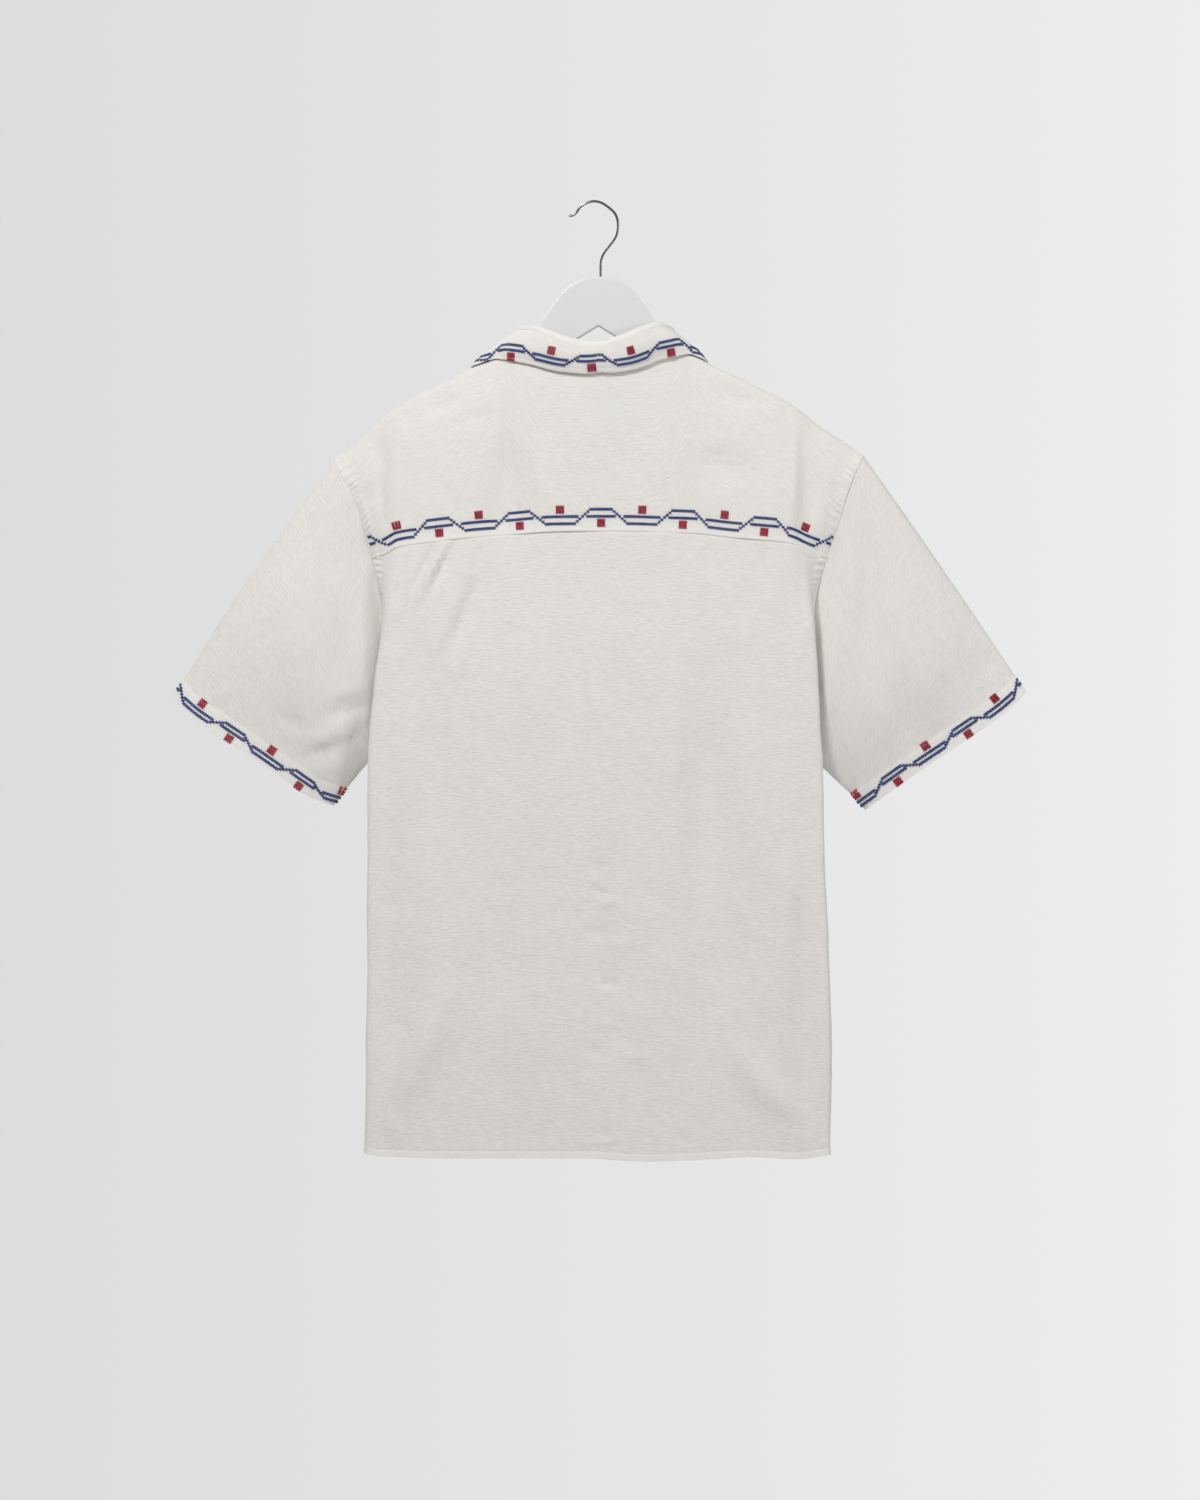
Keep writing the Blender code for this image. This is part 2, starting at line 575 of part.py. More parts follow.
def collar_profile(seam, roll, radius, facing, edge):
    """The collar's cross-section: up from the neck seam, round the roll and down to the edge."""
    angle = math.radians(facing)
    outward = Vector((-math.sin(angle), -math.cos(angle), 0))
    down = (seam - roll).normalized() + (edge - roll).normalized()
    up = -(down - outward * down.dot(outward)).normalized()
    centre = roll - up * radius
    inner, outer = centre - outward * radius, centre + outward * radius
    points = [seam.lerp(inner, n / COLLAR_STAND_FACES) for n in range(COLLAR_STAND_FACES)]
    for n in range(COLLAR_ROLL_FACES + 1):
        turn = math.pi * n / COLLAR_ROLL_FACES
        points.append(centre - outward * radius * math.cos(turn) + up * radius * math.sin(turn))
    for n in range(1, COLLAR_FALL_FACES + 1):
        t = n / COLLAR_FALL_FACES
        bulge = outward * FALL_BULGE * math.sin(math.pi * t)
        points.append(outer.lerp(edge, t) + bulge)
    return points


def material(name, colour, roughness, metallic=0.0):
    made = bpy.data.materials.new(name)
    made.use_nodes = True
    shader = made.node_tree.nodes["Principled BSDF"]
    shader.inputs["Base Color"].default_value = (*colour, 1.0)
    shader.inputs["Roughness"].default_value = roughness
    shader.inputs["Metallic"].default_value = metallic
    return made


def add(name, mesh, finish, group):
    made = bpy.data.objects.new(name, mesh)
    made.data.materials.append(finish)
    group.objects.link(made)
    return made


def cloth_piece(name, rows, finish, group, thickness=CLOTH, flip=False):
    """A grid whose points are the cloth's outer face, thickened on its inner side."""
    form = bmesh.new()
    columns = len(rows[0])
    bmesh.ops.create_grid(form, x_segments=columns - 1, y_segments=len(rows) - 1, size=1)
    form.verts.ensure_lookup_table()
    for n, vertex in enumerate(form.verts):
        vertex.co = rows[n // columns][n % columns] * MM
    if flip:
        bmesh.ops.reverse_faces(form, faces=form.faces)
    bmesh.ops.remove_doubles(form, verts=form.verts, dist=1e-7)
    mesh = bpy.data.meshes.new(name)
    form.to_mesh(mesh)
    form.free()
    made = add(name, mesh, finish, group)
    wall = made.modifiers.new("Wall", "SOLIDIFY")
    wall.thickness = thickness * MM
    wall.offset = -1
    mesh.shade_smooth()
    return made


def label_points():
    """The label lies inside the yoke: its outer face follows the yoke's inner one."""
    width, height = LABEL_SIZE
    rows = []
    for n in range(4):
        row = []
        for m in range(7):
            x = LABEL_MIDDLE[0] + width * (m / 6 - 0.5)
            z = LABEL_MIDDLE[1] + height * (0.5 - n / 3)
            place = skin(x, turn_of(crest_height(x) - z))
            place.y += CLOTH + LABEL_GAP
            row.append(place)
        rows.append(row)
    return rows


def turned_button(name, place, finish, group):
    """A button turned about its axis, which points out of the front."""
    half, rim = BUTTON_THICK / 2, BUTTON_RIM
    profile = ((0, half - rim), (3.4, half - rim), (4.2, half), (5.2, half), (BUTTON_RADIUS, half - 0.5),
               (BUTTON_RADIUS, -half + 0.5), (5.2, -half), (0, -half))
    mesh = bpy.data.meshes.new(name)
    points = [(radius * MM, 0, height * MM) for radius, height in profile]
    mesh.from_pydata(points, [(n, n + 1) for n in range(len(points) - 1)], [])
    made = add(name, mesh, finish, group)
    turn = made.modifiers.new("Turn", "SCREW")
    turn.steps = turn.render_steps = 16
    turn.use_merge_vertices = True
    turn.merge_threshold = 0.00001
    made.rotation_euler = (-math.pi / 2, 0, 0)
    made.location = place
    return made


def curve_object(name, splines, group):
    data = bpy.data.curves.new(name, "CURVE")
    for points, cyclic in splines:
        path = data.splines.new("POLY")
        path.points.add(len(points) - 1)
        for target, point in zip(path.points, points):
            target.co = (*point, 1.0)
        path.use_cyclic_u = cyclic
    made = bpy.data.objects.new(name, data)
    group.objects.link(made)
    return made


def made_mesh(curve, name, finish, group):
    """The curve's evaluated shape as a mesh object of its own, with its caps welded on."""
    graph = bpy.context.evaluated_depsgraph_get()
    mesh = bpy.data.meshes.new_from_object(curve.evaluated_get(graph))
    form = bmesh.new()
    form.from_mesh(mesh)
    bmesh.ops.remove_doubles(form, verts=form.verts, dist=1e-6)
    form.to_mesh(mesh)
    form.free()
    mesh.name = name
    world = curve.matrix_world.copy()
    bpy.data.objects.remove(curve)
    made = add(name, mesh, finish, group)
    made.data.materials.clear()
    made.data.materials.append(finish)
    made.matrix_world = world
    return made


def hanger_body(finish, group, cutters):
    """The flat hanger: its outline given thickness, with a bore for the hook's stem."""
    halves = []
    for hand in (RIGHT, LEFT):
        arm = tuple((x, crest_height(hand * x + HANGER_X) - ARM_DROP) for x in HANGER_ARM)
        rise = crest_height(hand * HANGER_ARM[-1]) - crest_height(HANGER_ARM[-1])
        end = tuple((x, z + rise) for x, z in HANGER_END)
        halves.append(HANGER_DOME + arm + end + HANGER_NOTCH)
    right = halves[0]
    left = [(-x, z) for x, z in reversed(halves[1][1:-1])]
    inset = HANGER_BEVEL
    outline = [(x * MM, z * MM, 0.0) for x, z in [*right, *left]]
    flat = curve_object("hanger_outline", [(outline, True)], group)
    flat.data.dimensions = "2D"
    flat.data.fill_mode = "BOTH"
    flat.data.extrude = (HANGER_HALF - inset) * MM
    flat.data.bevel_depth = inset * MM
    flat.data.bevel_resolution = 1
    flat.data.offset = -inset * MM
    flat.rotation_euler = (math.pi / 2, 0, 0)
    flat.location = (HANGER_X * MM, 0, 0)
    bpy.context.view_layer.update()
    body = made_mesh(flat, "hanger_body", finish, group)
    bpy.ops.mesh.primitive_cylinder_add(
        vertices=16, radius=(HOOK_RADIUS + SEAM_GAP) * MM, depth=0.04,
        location=(HOOK[-1][0] * MM, 0, -BORE_DEPTH * MM + 0.02))
    cutter = bpy.context.object
    cutter.name = "hook_bore"
    cutter.hide_render = True
    cutter.display_type = "WIRE"
    for owner in list(cutter.users_collection):
        owner.objects.unlink(cutter)
    cutters.objects.link(cutter)
    bore = body.modifiers.new("Bore", "BOOLEAN")
    bore.operation = "DIFFERENCE"
    bore.object = cutter
    return body


def hook_wire(finish, group):
    points = [(x * MM, 0.0, z * MM) for x, z in HOOK]
    wire = curve_object("hanger_hook", [(points, False)], group)
    wire.data.dimensions = "3D"
    wire.data.bevel_depth = HOOK_RADIUS * MM
    wire.data.bevel_resolution = 2
    wire.data.use_fill_caps = True
    return made_mesh(wire, "hanger_hook", finish, group)


def main():
    for old in list(bpy.data.objects):
        bpy.data.objects.remove(old)
    group = bpy.data.collections.new("short_sleeve_shirt")
    cutters = bpy.data.collections.new("cutters")
    bpy.context.scene.collection.children.link(group)
    bpy.context.scene.collection.children.link(cutters)
    cloth = material("cotton_cloth", (0.80, 0.775, 0.74), 0.92)
    shell = material("button", (0.82, 0.79, 0.73), 0.3)
    woven = material("woven_label", (0.86, 0.86, 0.85), 0.8)
    white = material("hanger_white", (0.84, 0.85, 0.83), 0.38)
    steel = material("hook_steel", (0.56, 0.57, 0.60), 0.2, 1.0)

    back = back_points()
    yoke = yoke_points(back[0])
    left, right = front_points(LEFT), front_points(RIGHT)
    cloth_piece("back", back, cloth, group, flip=True)
    cloth_piece("yoke", yoke, cloth, group, flip=True)
    cloth_piece("front_left", left, cloth, group, flip=True)
    cloth_piece("front_right", right, cloth, group)
    cloth_piece("sleeve_left", sleeve_points(LEFT), cloth, group, flip=True)
    cloth_piece("sleeve_right", sleeve_points(RIGHT), cloth, group)
    cloth_piece("collar", collar_points(neckline(yoke, left, right)), cloth, group)
    cloth_piece("neck_label", label_points(), woven, group, thickness=LABEL_THICK)

    for n in range(BUTTON_COUNT):
        z = BUTTON_FIRST + BUTTON_STEP * n
        depth = max(front_depth(BUTTON_X + x, z + up) for x in (-4, 0, 4) for up in (-4, 0, 4))
        y = depth + BUTTON_THICK / 2 + BUTTON_SEAT
        turned_button(f"button_{n + 1}", (BUTTON_X * MM, y * MM, z * MM), shell, group)

    hanger_body(white, group, cutters)
    hook_wire(steel, group)


def front_depth(x, z):
    """The left front's outer face at a place near its edge."""
    if z > LEVEL_START:
        return skin(x, -turn_of(crest_height(x) - z)).y
    return stand_off[FRONT](z) + fold_height(FOLDS, FRONT, x, z)


main()
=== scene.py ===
"""Looks of the short-sleeve shirt: its cloth panels with their folds and seams, the cross-stitch
borders, buttons, label, hanger and hook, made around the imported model. Tables are in millimetres
from the underside of the hook's crown, as in the part's own source. The shirt's back faces -Y."""

import math

import bpy
import numpy as np
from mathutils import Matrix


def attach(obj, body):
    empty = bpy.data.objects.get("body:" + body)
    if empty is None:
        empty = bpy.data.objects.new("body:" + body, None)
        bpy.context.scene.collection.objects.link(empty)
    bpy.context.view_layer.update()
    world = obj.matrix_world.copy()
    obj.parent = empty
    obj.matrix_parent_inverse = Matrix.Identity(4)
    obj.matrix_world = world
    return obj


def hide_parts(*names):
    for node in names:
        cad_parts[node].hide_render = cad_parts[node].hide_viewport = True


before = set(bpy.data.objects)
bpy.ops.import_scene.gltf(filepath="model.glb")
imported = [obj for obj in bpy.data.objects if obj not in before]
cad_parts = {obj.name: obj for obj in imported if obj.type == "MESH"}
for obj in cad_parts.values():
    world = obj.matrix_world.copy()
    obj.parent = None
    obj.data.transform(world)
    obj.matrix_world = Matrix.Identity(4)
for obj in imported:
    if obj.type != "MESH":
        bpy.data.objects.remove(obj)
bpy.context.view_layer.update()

MM = 0.001
BACK, FRONT = -1, 1
LEFT, RIGHT = -1, 1
HANDS = {"left": LEFT, "right": RIGHT}

# Cloth walls and seams
CLOTH_WALL = 0.9
SEAM_TUCK, TUCK_DEPTH, TUCK_EASE = 1.6, 1.35, 3.2
SIDE_GAP = 0.2

# Shoulder line: distance from the middle, left height, right height
CREST = ((0, -112, -112), (40, -121, -122), (80, -137, -140.5), (110, -151.5, -156),
         (130, -160.5, -165), (152, -172.5, -176.5), (175, -184, -187.5), (195, -196.5, -198.5),
         (212, -207, -207.5), (233, -221.5, -221), (246, -233.5, -233), (253, -243, -242))
CREST_ROUND = 8.5
DROP_LENGTH = 60

# How far the cloth stands off the hanger's plane: height, back, front
DEPTH = ((-120, 24, 22), (-200, 26, 24), (-313, 28, 26), (-434, 34, 31), (-529, 37, 33),
         (-700, 40, 36), (-904, 43, 39))
MIDDLE_CROWN = 4

# Upright folds that edge the body: height, left x, right x
FOLD_EDGE = ((-180, -245, 235), (-206, -206, 195), (-256, -201, 190), (-327, -194, 185),
             (-368, -203, 194), (-401, -207, 203), (-446, -215, 208), (-496, -220, 210.5),
             (-529, -221.5, 213), (-624, -222, 214.5), (-700, -222, 218.5), (-814, -223, 219.5),
             (-910, -224, 219.5))
FOLD_ROUND = 9

# Armhole seams: height, x, distance from the hanger's plane
ARMHOLE = {
    LEFT: ((-244, -252, 0), (-247.5, -250.5, 5), (-262, -243, 9), (-280, -234, 11),
           (-296, -227, 11), (-317, -221.5, 10), (-338, -216, 8), (-363, -210, 6),
           (-385, -206, 5), (-415, -204, 5), (-450, -205, 5), (-487, -208.5, 4.5),
           (-512, -211.5, 2.5), (-522.5, -213, 0)),
    RIGHT: ((-240, 250, 0), (-243.5, 248.5, 5), (-256, 242.5, 9), (-280, 233.5, 11),
            (-308, 225, 10.5), (-322, 219.5, 9.5), (-337, 214.5, 8), (-358, 209, 6),
            (-385, 203, 5), (-415, 199.5, 5), (-453, 198.5, 5), (-491, 200.5, 4.5),
            (-519, 204, 2.5), (-530, 205, 0)),
}
SIDE_SEAM = ((-520, -213, 205), (-560, -209, 201), (-640, -208, 201), (-800, -209, 205),
             (-910, -212, 207))
YOKE_SEAM = ((-216, -338.5), (-205, -335), (-193, -328), (-172, -324.7), (-139, -320.6),
             (-106, -317.3), (-74, -315.4), (-41, -313.3), (19, -312.9), (54, -313.8),
             (90, -315), (126, -318.9), (163, -322), (179, -323.8), (187, -326.4), (199, -332.5),
             (215, -338))
NECK_WRAP, ARM_WRAP = 14, 21
SEAM_BEND_HEIGHT, SEAM_BEND_HALF = -212.0, 7
HEM = ((-224, -900), (-205, -903), (-140, -904.5), (-20, -904.5), (45, -907.5), (95, -906),
       (140, -903.5), (185, -905.5), (220, -901))

# Neck opening and front closing
NECK_X, NECK_HALF, NECK_BACK, NECK_FRONT, NECK_END = -4, 80, -157, -236, 86.5
NECK_SQUARE, NECK_SWELL, NECK_SWELL_REACH = 0.9, 7, 60
LAP, LAP_STEP, LAP_BLEND = 15, 1.7, 26

# Largest folds, as in the solids: side, x0, z0, x1, z1, half width, height (+ out)
FOLDS = (
    (BACK, -118, -332, -165, -452, 9, 3.0),
    (BACK, -106, -336, -150, -446, 9, -3.2),
    (BACK, -150, -336, -176, -430, 10, 2.2),
    (BACK, -84, -215, -92, -345, 20, -3.5),
    (BACK, 100, -235, 148, -262, 16, -2.4),
    (BACK, 160, -240, 166, -330, 18, 2.2),
    (BACK, -40, -340, -62, -700, 26, 2.6),
    (BACK, 20, -345, 12, -900, 34, -2.4),
    (BACK, 96, -350, 112, -880, 24, -4.0),
    (BACK, 165, -480, 178, -880, 22, 3.6),
    (BACK, -196, -560, -206, -850, 14, -3.2),
    (BACK, -120, -620, -190, -890, 20, 3.6),
    (BACK, 120, -780, 196, -885, 14, 2.6),
    (FRONT, -120, -300, -140, -890, 24, 4.5),
    (FRONT, -70, -330, -82, -890, 22, -4.0),
    (FRONT, 82, -300, 70, -890, 24, -3.6),
    (FRONT, 135, -290, 150, -890, 26, 4.5),
    (FRONT, -185, -560, -190, -890, 16, -3.0),
    (FRONT, 188, -560, 192, -890, 16, -3.0),
)
FOLD_ENDS = 0.42

# Sleeves: outer and inner corner of each cuff (x, z), half thicknesses, bows
CUFF = {LEFT: ((-406, -469.3), (-253.7, -572)), RIGHT: ((405, -464.6), (252.7, -576))}
CUFF_HALF, SLEEVE_SWELL = 13, 13
SLEEVE_FILL = 9
SLEEVE_BOW = {LEFT: 4.4, RIGHT: 0.8}
CUFF_BOW = ((0, 0, 0), (0.07, 3.6, 2.6), (0.18, 5.4, 4.0), (0.35, 5.4, 3.0), (0.53, 4.9, 1.6),
            (0.7, 5.5, 0.4), (0.86, 6.0, 0), (0.95, 3.0, 0), (1, 0, 0))
# hand, side, x0, z0, x1, z1, half width, height (+ out)
SLEEVE_FOLDS = (
    (LEFT, BACK, -216, -484, -290, -524, 8, 2.4),
    (LEFT, BACK, -218, -502, -284, -532, 8, -2.0),
    (LEFT, BACK, -214, -466, -274, -496, 8, -1.9),
    (LEFT, BACK, -222, -540, -284, -538, 9, 1.8),
    (LEFT, BACK, -228, -340, -228, -450, 12, -0.8),
    (RIGHT, BACK, 262, -290, 264, -500, 14, -4.0),
    (RIGHT, BACK, 300, -400, 322, -520, 16, 3.0),
    (RIGHT, BACK, 350, -440, 385, -425, 12, -2.6),
    (LEFT, FRONT, -240, -470, -300, -500, 12, 3.2),
    (RIGHT, FRONT, 240, -470, 300, -500, 12, 3.2),
)

# Collar sections. The key runs with the neck seam, from 180 at the left front end through 0 at the
# middle of the back to -180 at the right front end.
COLLAR_COLUMNS = ("key", "roll_x", "roll_y", "roll_z", "radius", "plan_angle", "edge_x",
                  "edge_turn", "off")
COLLAR = (
    (180, -7, 26.5, -229, 1.9, 172, -50, -176, 3.0),
    (150, -42, 26, -214, 2.2, 165, -86, -124, 3.2),
    (120, -71, 20, -176, 2.8, 140, -117, -68, 1.6),
    (98, -78, 10, -138, 3.4, 112, -124.5, -28, 1.0),
    (82, -74, -2, -118, 3.8, 90, -120.5, 0, 1.0),
    (62, -63, -15, -118.6, 3.8, 60, -99, 8, 1.4),
    (40, -46, -23, -124.6, 3.8, 34, -70, 26, 2.0),
    (18, -24, -27, -131.8, 3.8, 12, -36, 47, 2.6),
    (0, -3, -28, -134.6, 3.8, 0, -2, 55.5, 2.8),
    (-18, 16, -27, -129.4, 3.8, -12, 30, 46, 2.6),
    (-40, 38, -23, -120.4, 3.8, -34, 60, 24, 2.0),
    (-62, 53.5, -15, -115.6, 3.8, -60, 84, 7, 1.4),
    (-82, 65.5, -2, -118, 3.8, -90, 98.5, 0, 1.0),
    (-98, 70, 10, -138, 3.4, -112, 106, -26, 1.0),
    (-120, 64, 20, -176, 2.8, -140, 102, -66, 1.6),
    (-150, 36, 26, -214, 2.2, -165, 80, -122, 3.2),
    (-180, 2, 26.5, -229, 1.9, -172, 46, -174, 3.0),
)
COLLAR_END, NECK_CORNER_KEY = 180, 105
FALL_BULGE, COLLAR_WALL = 2.0, 1.2

# Buttons down the front edge
BUTTON_X, BUTTON_FIRST, BUTTON_STEP, BUTTON_COUNT = 0, -262, -112, 6
BUTTON_RADIUS, BUTTON_THICK, BUTTON_GAP, BUTTON_REACH = 5.7, 2.4, 0.18, 6
HOLE_OFF, HOLE_RADIUS = 1.1, 0.62

# Blank woven label inside the yoke
LABEL_SIZE, LABEL_MIDDLE = (66, 26), (-2.5, -202)
LABEL_THICK, LABEL_GAP = 0.6, 2.0

# Hanger outline, right half, and the hook's wire from its tip down into the hanger: x, z
HANGER_DOME = ((0, -70.3), (14, -72.2), (27, -78.5), (38, -90), (49, -105), (56.5, -116),
               (62, -126), (66, -134.5), (71, -144.5), (80, -151.5))
HANGER_ARM = (100, 115, 130, 150, 170, 182)
ARM_DROP = 3.5
HANGER_END = ((188, -204.5), (190, -210), (188.5, -216), (181, -219))
HANGER_NOTCH = ((150, -205), (120, -188), (60, -153.5), (22, -130.5), (6, -121), (0, -117.5))
HANGER_X, HANGER_HALF = -1.5, 5.5
HANGER_ROUND = 1.6
HOOK = ((-29.7, -12.0), (-25.8, -11.8), (-22.2, -8.6), (-19.2, -4.3), (-14.8, -1.0),
        (-9.8, 1.0), (-4.7, 1.6), (1.1, 0.2), (6.3, -2.9), (10.6, -6.2), (14.3, -10.2),
        (16.4, -15.2), (17.1, -21.0), (16.4, -27.6), (14.6, -32.7), (11.3, -37.7),
        (6.9, -43.2), (3.3, -48.3), (1.4, -53.0), (0.7, -58.0), (0.7, -70.0), (0.7, -84.0))
HOOK_RADIUS = 1.2

# Finer folds and creases of the photo's side and similar ones in front: x0, z0, x1, z1, half width,
# height (+ out)
YOKE_CREASES = (
    (-84, -196, -92, -330, 17, -3.0),
    (-58, -205, -56, -322, 13, 1.6),
    (-208, -212, -205, -324, 8, -3.2),
    (-198, -222, -198, -318, 5, 1.7),
    (-214, -216, -204, -256, 5, -1.8),
    (-176, -204, -120, -182, 7, -1.2),
    (-150, -216, -95, -196, 8, -0.9),
    (96, -222, 116, -284, 17, -1.6),
    (76, -238, 140, -241, 2.4, -0.35),
    (84, -249, 134, -251, 2.2, -0.3),
    (136, -236, 148, -304, 15, -1.3),
    (187, -192, 183, -340, 5, 2.3),
    (198, -194, 194, -352, 10, -3.8),
    (210, -228, 204, -312, 7, -1.6),
    (160, -204, 96, -170, 9, -1.9),
    (172, -206, 130, -190, 5, 0.9),
    (60, -190, 68, -292, 12, 0.9),
    (-16, -182, -14, -296, 15, 0.7),
    (26, -186, 30, -300, 11, -0.6),
)
BACK_CREASES = (
    (-141, -312, -180, -396, 4.2, 2.6),
    (-134, -314, -166, -384, 3.8, -2.5),
    (-152, -318, -184, -378, 3.6, -2.0),
    (-165, -324, -195, -404, 5, 1.7),
    (-188, -330, -204, -420, 4.5, 1.5),
    (-182, -332, -197, -400, 4, -1.4),
    (-122, -318, -133, -372, 5, 0.9),
    (-112, -318, -119, -356, 4, -0.7),
    (12, -312, 14, -352, 5, 0.7),
    (40, -312, 42, -362, 4, 0.6),
    (55, -313, 58, -348, 3.4, 0.9),
    (63, -313, 64, -336, 2.6, -0.5),
    (71, -313, 75, -382, 4.2, 0.9),
    (80, -314, 82, -340, 2.6, -0.7),
    (88, -314, 95, -404, 6, 0.8),
    (96, -315, 99, -338, 2.8, 0.5),
    (103, -315, 110, -362, 3.2, -0.9),
    (113, -316, 124, -424, 7, 0.8),
    (124, -318, 128, -346, 3, -0.6),
    (134, -319, 141, -370, 4, 0.8),
    (150, -321, 158, -380, 5, -0.8),
    (168, -323, 174, -400, 5, 1.0),
    (186, -326, 196, -410, 4, -1.6),
    (192, -332, 203, -420, 5, 1.2),
    (-110, -360, -118, -640, 13, 1.8),
    (-28, -330, -34, -560, 13, -1.4),
    (5, -380, 2, -720, 13, 1.9),
    (66, -360, 74, -700, 13, 2.1),
    (101, -462, 104, -682, 17, -2.4),
    (140, -430, 150, -700, 14, 1.6),
    (176, -600, 181, -700, 9, 1.4),
    (-150, -430, -158, -640, 14, -1.6),
    (-180, -460, -186, -600, 11, 1.5),
    (-128, -720, -216, -902, 15, 2.9),
    (-162, -700, -206, -830, 12, -1.6),
    (-60, -660, -74, -880, 16, 1.7),
    (112, -790, 210, -904, 15, 2.7),
    (150, -852, 206, -884, 9, -1.2),
    (190, -640, 198, -880, 10, -2.2),
    (-12, -628, 8, -631, 3.2, -1.0),
    (-14, -640, 4, -646, 3.4, 0.8),
    (-8, -654, 14, -655, 3.2, -1.1),
    (0, -664, 22, -662, 3.4, 0.9),
    (-18, -690, 10, -694, 3.4, -0.9),
    (4, -706, 30, -700, 3.4, 0.8),
    (-4, -738, 24, -741, 3.4, -1.0),
    (-10, -750, 16, -748, 3.4, 0.8),
    (-6, -776, 22, -779, 3.4, 0.9),
    (-20, -800, 6, -806, 3.6, -0.8),
    (20, -812, 48, -806, 3.6, 0.8),
    (-22, -892, 28, -886, 3.0, 0.6),
    (-14, -884, 20, -879, 3.0, -0.5),
    (64, -880, 92, -893, 4, -0.9),
    (-204, -858, -188, -892, 7, 1.4),
    (96, -700, 88, -850, 10, -1.0),
    (40, -720, 52, -860, 11, 0.8),
    (213, -700, 214, -905, 8, 2.4),
    (-213, -640, -216, -900, 6, 1.2),
    (-60, -345, -66, -600, 10, 1.3),
    (-96, -560, -84, -800, 17, -1.0),
    (24, -640, 14, -880, 15, -0.9),
    (122, -600, 128, -790, 15, -0.9),
    (150, -700, 162, -850, 12, 1.0),
)
FRONT_CREASES = (
    (-60, -262, -96, -330, 7, 1.6),
    (-90, -250, -140, -300, 8, -1.4),
    (58, -262, 92, -330, 7, 1.5),
    (92, -250, 140, -296, 8, -1.3),
    (-30, -300, -36, -420, 8, -0.9),
    (34, -310, 38, -430, 8, 0.9),
    (-24, -372, -60, -380, 4, -1.0),
    (24, -372, 62, -384, 4, -0.9),
    (-22, -484, -52, -492, 4, 0.9),
    (20, -596, 54, -604, 4, 0.8),
    (-180, -350, -196, -450, 7, -1.5),
    (180, -350, 192, -450, 7, -1.5),
    (-150, -420, -160, -640, 12, -1.0),
    (110, -420, 118, -620, 12, 1.0),
    (-110, -640, -190, -880, 12, 1.4),
    (90, -660, 180, -884, 12, 1.3),
    (-40, -700, -44, -880, 10, -0.8),
    (44, -720, 50, -884, 10, 0.8),
    (-100, -884, -60, -893, 4, 1.0),
    (120, -890, 168, -880, 4, 1.1),
)
# hand, side, x0, z0, x1, z1, half width, height (+ out)
SLEEVE_CREASES = (
    (LEFT, BACK, -214, -458, -262, -470, 5, 1.8),
    (LEFT, BACK, -206, -474, -256, -486, 3.6, -1.7),
    (LEFT, BACK, -216, -496, -306, -528, 4, 0.9),
    (LEFT, BACK, -236, -515, -310, -530, 3, -0.9),
    (LEFT, BACK, -244, -505, -304, -511, 2.6, 0.8),
    (LEFT, BACK, -250, -516, -304, -520, 2.4, -0.7),
    (LEFT, BACK, -270, -498, -312, -488, 5, -1.0),
    (LEFT, BACK, -330, -452, -380, -478, 6, 1.0),
    (LEFT, BACK, -268, -262, -330, -356, 10, 1.2),
    (LEFT, BACK, -262, -290, -290, -350, 8, -1.0),
    (LEFT, BACK, -250, -330, -254, -430, 9, 1.0),
    (LEFT, BACK, -300, -380, -340, -440, 12, -0.8),
    (RIGHT, BACK, 250, -262, 254, -480, 6, -1.7),
    (RIGHT, BACK, 236, -280, 238, -420, 7, 1.4),
    (RIGHT, BACK, 284, -430, 290, -524, 8, -1.4),
    (RIGHT, BACK, 268, -470, 274, -530, 6, 1.0),
    (RIGHT, BACK, 350, -452, 382, -434, 7, -1.5),
    (RIGHT, BACK, 330, -400, 346, -452, 9, 1.0),
    (RIGHT, BACK, 300, -330, 318, -420, 12, -0.9),
    (RIGHT, BACK, 268, -268, 320, -340, 10, 1.0),
    (LEFT, FRONT, -226, -470, -300, -470, 6, -1.6),
    (LEFT, FRONT, -232, -500, -320, -520, 7, 1.8),
    (LEFT, FRONT, -262, -300, -300, -400, 10, -1.2),
    (RIGHT, FRONT, 226, -470, 300, -470, 6, -1.6),
    (RIGHT, FRONT, 232, -504, 320, -516, 7, 1.7),
    (RIGHT, FRONT, 262, -300, 300, -400, 10, -1.2),
)

# Topstitched bands: distance of the stitching from each edge, the puckers along the armholes, how
# far double cloth rises and its stitching dips, and where the armhole bands end
ARM_BAND, HEM_BAND, CUFF_BAND, COLLAR_BAND = 11.0, 7.8, 20.5, 4.0
PUCKER_STEP, PUCKER_HEIGHT = 6.0, 1.1
BAND_RISE, BAND_DIP = 0.45, 0.35
HEM_RISE, HEM_DIP, HEM_RIPPLE = 0.4, 0.3, 0.28
ARM_BAND_END, ARM_BAND_FADE = -528, 12
SIDE_DIP, SIDE_DIP_WIDTH = 0.5, 1.4
YOKE_RIDGE, BORDER_DEPTH, BORDER_CALM = 0.6, 25, 0.8

# How strongly creases show: at the back's sides, over its middle and on the yoke
BACK_SIDE_SHARE, BACK_MIDDLE_SHARE, YOKE_SHARE = 0.9, 1.5, 1.2
BACK_MIDDLE, BACK_MIDDLE_FADE = 186, 14

# How much paler double cloth shows, from 0 to 1
PALER = {"hem": 0.55, "armhole": 0.5, "yoke seam": 0.35, "lap": 0.4, "cuff": 0.6, "collar": 0.35}
YOKE_SEAM_DEPTH, LAP_DEPTH = 11, 32

# Cross-stitch border, in crosses: its repeat, counted from an upper step's middle
REPEAT = 31
HALF_TOP, HALF_CROSSING = 4, 7
SQUARE_CROSS, SQUARE_OVER, SQUARE_UNDER = 1.02, 2.65, -2.5
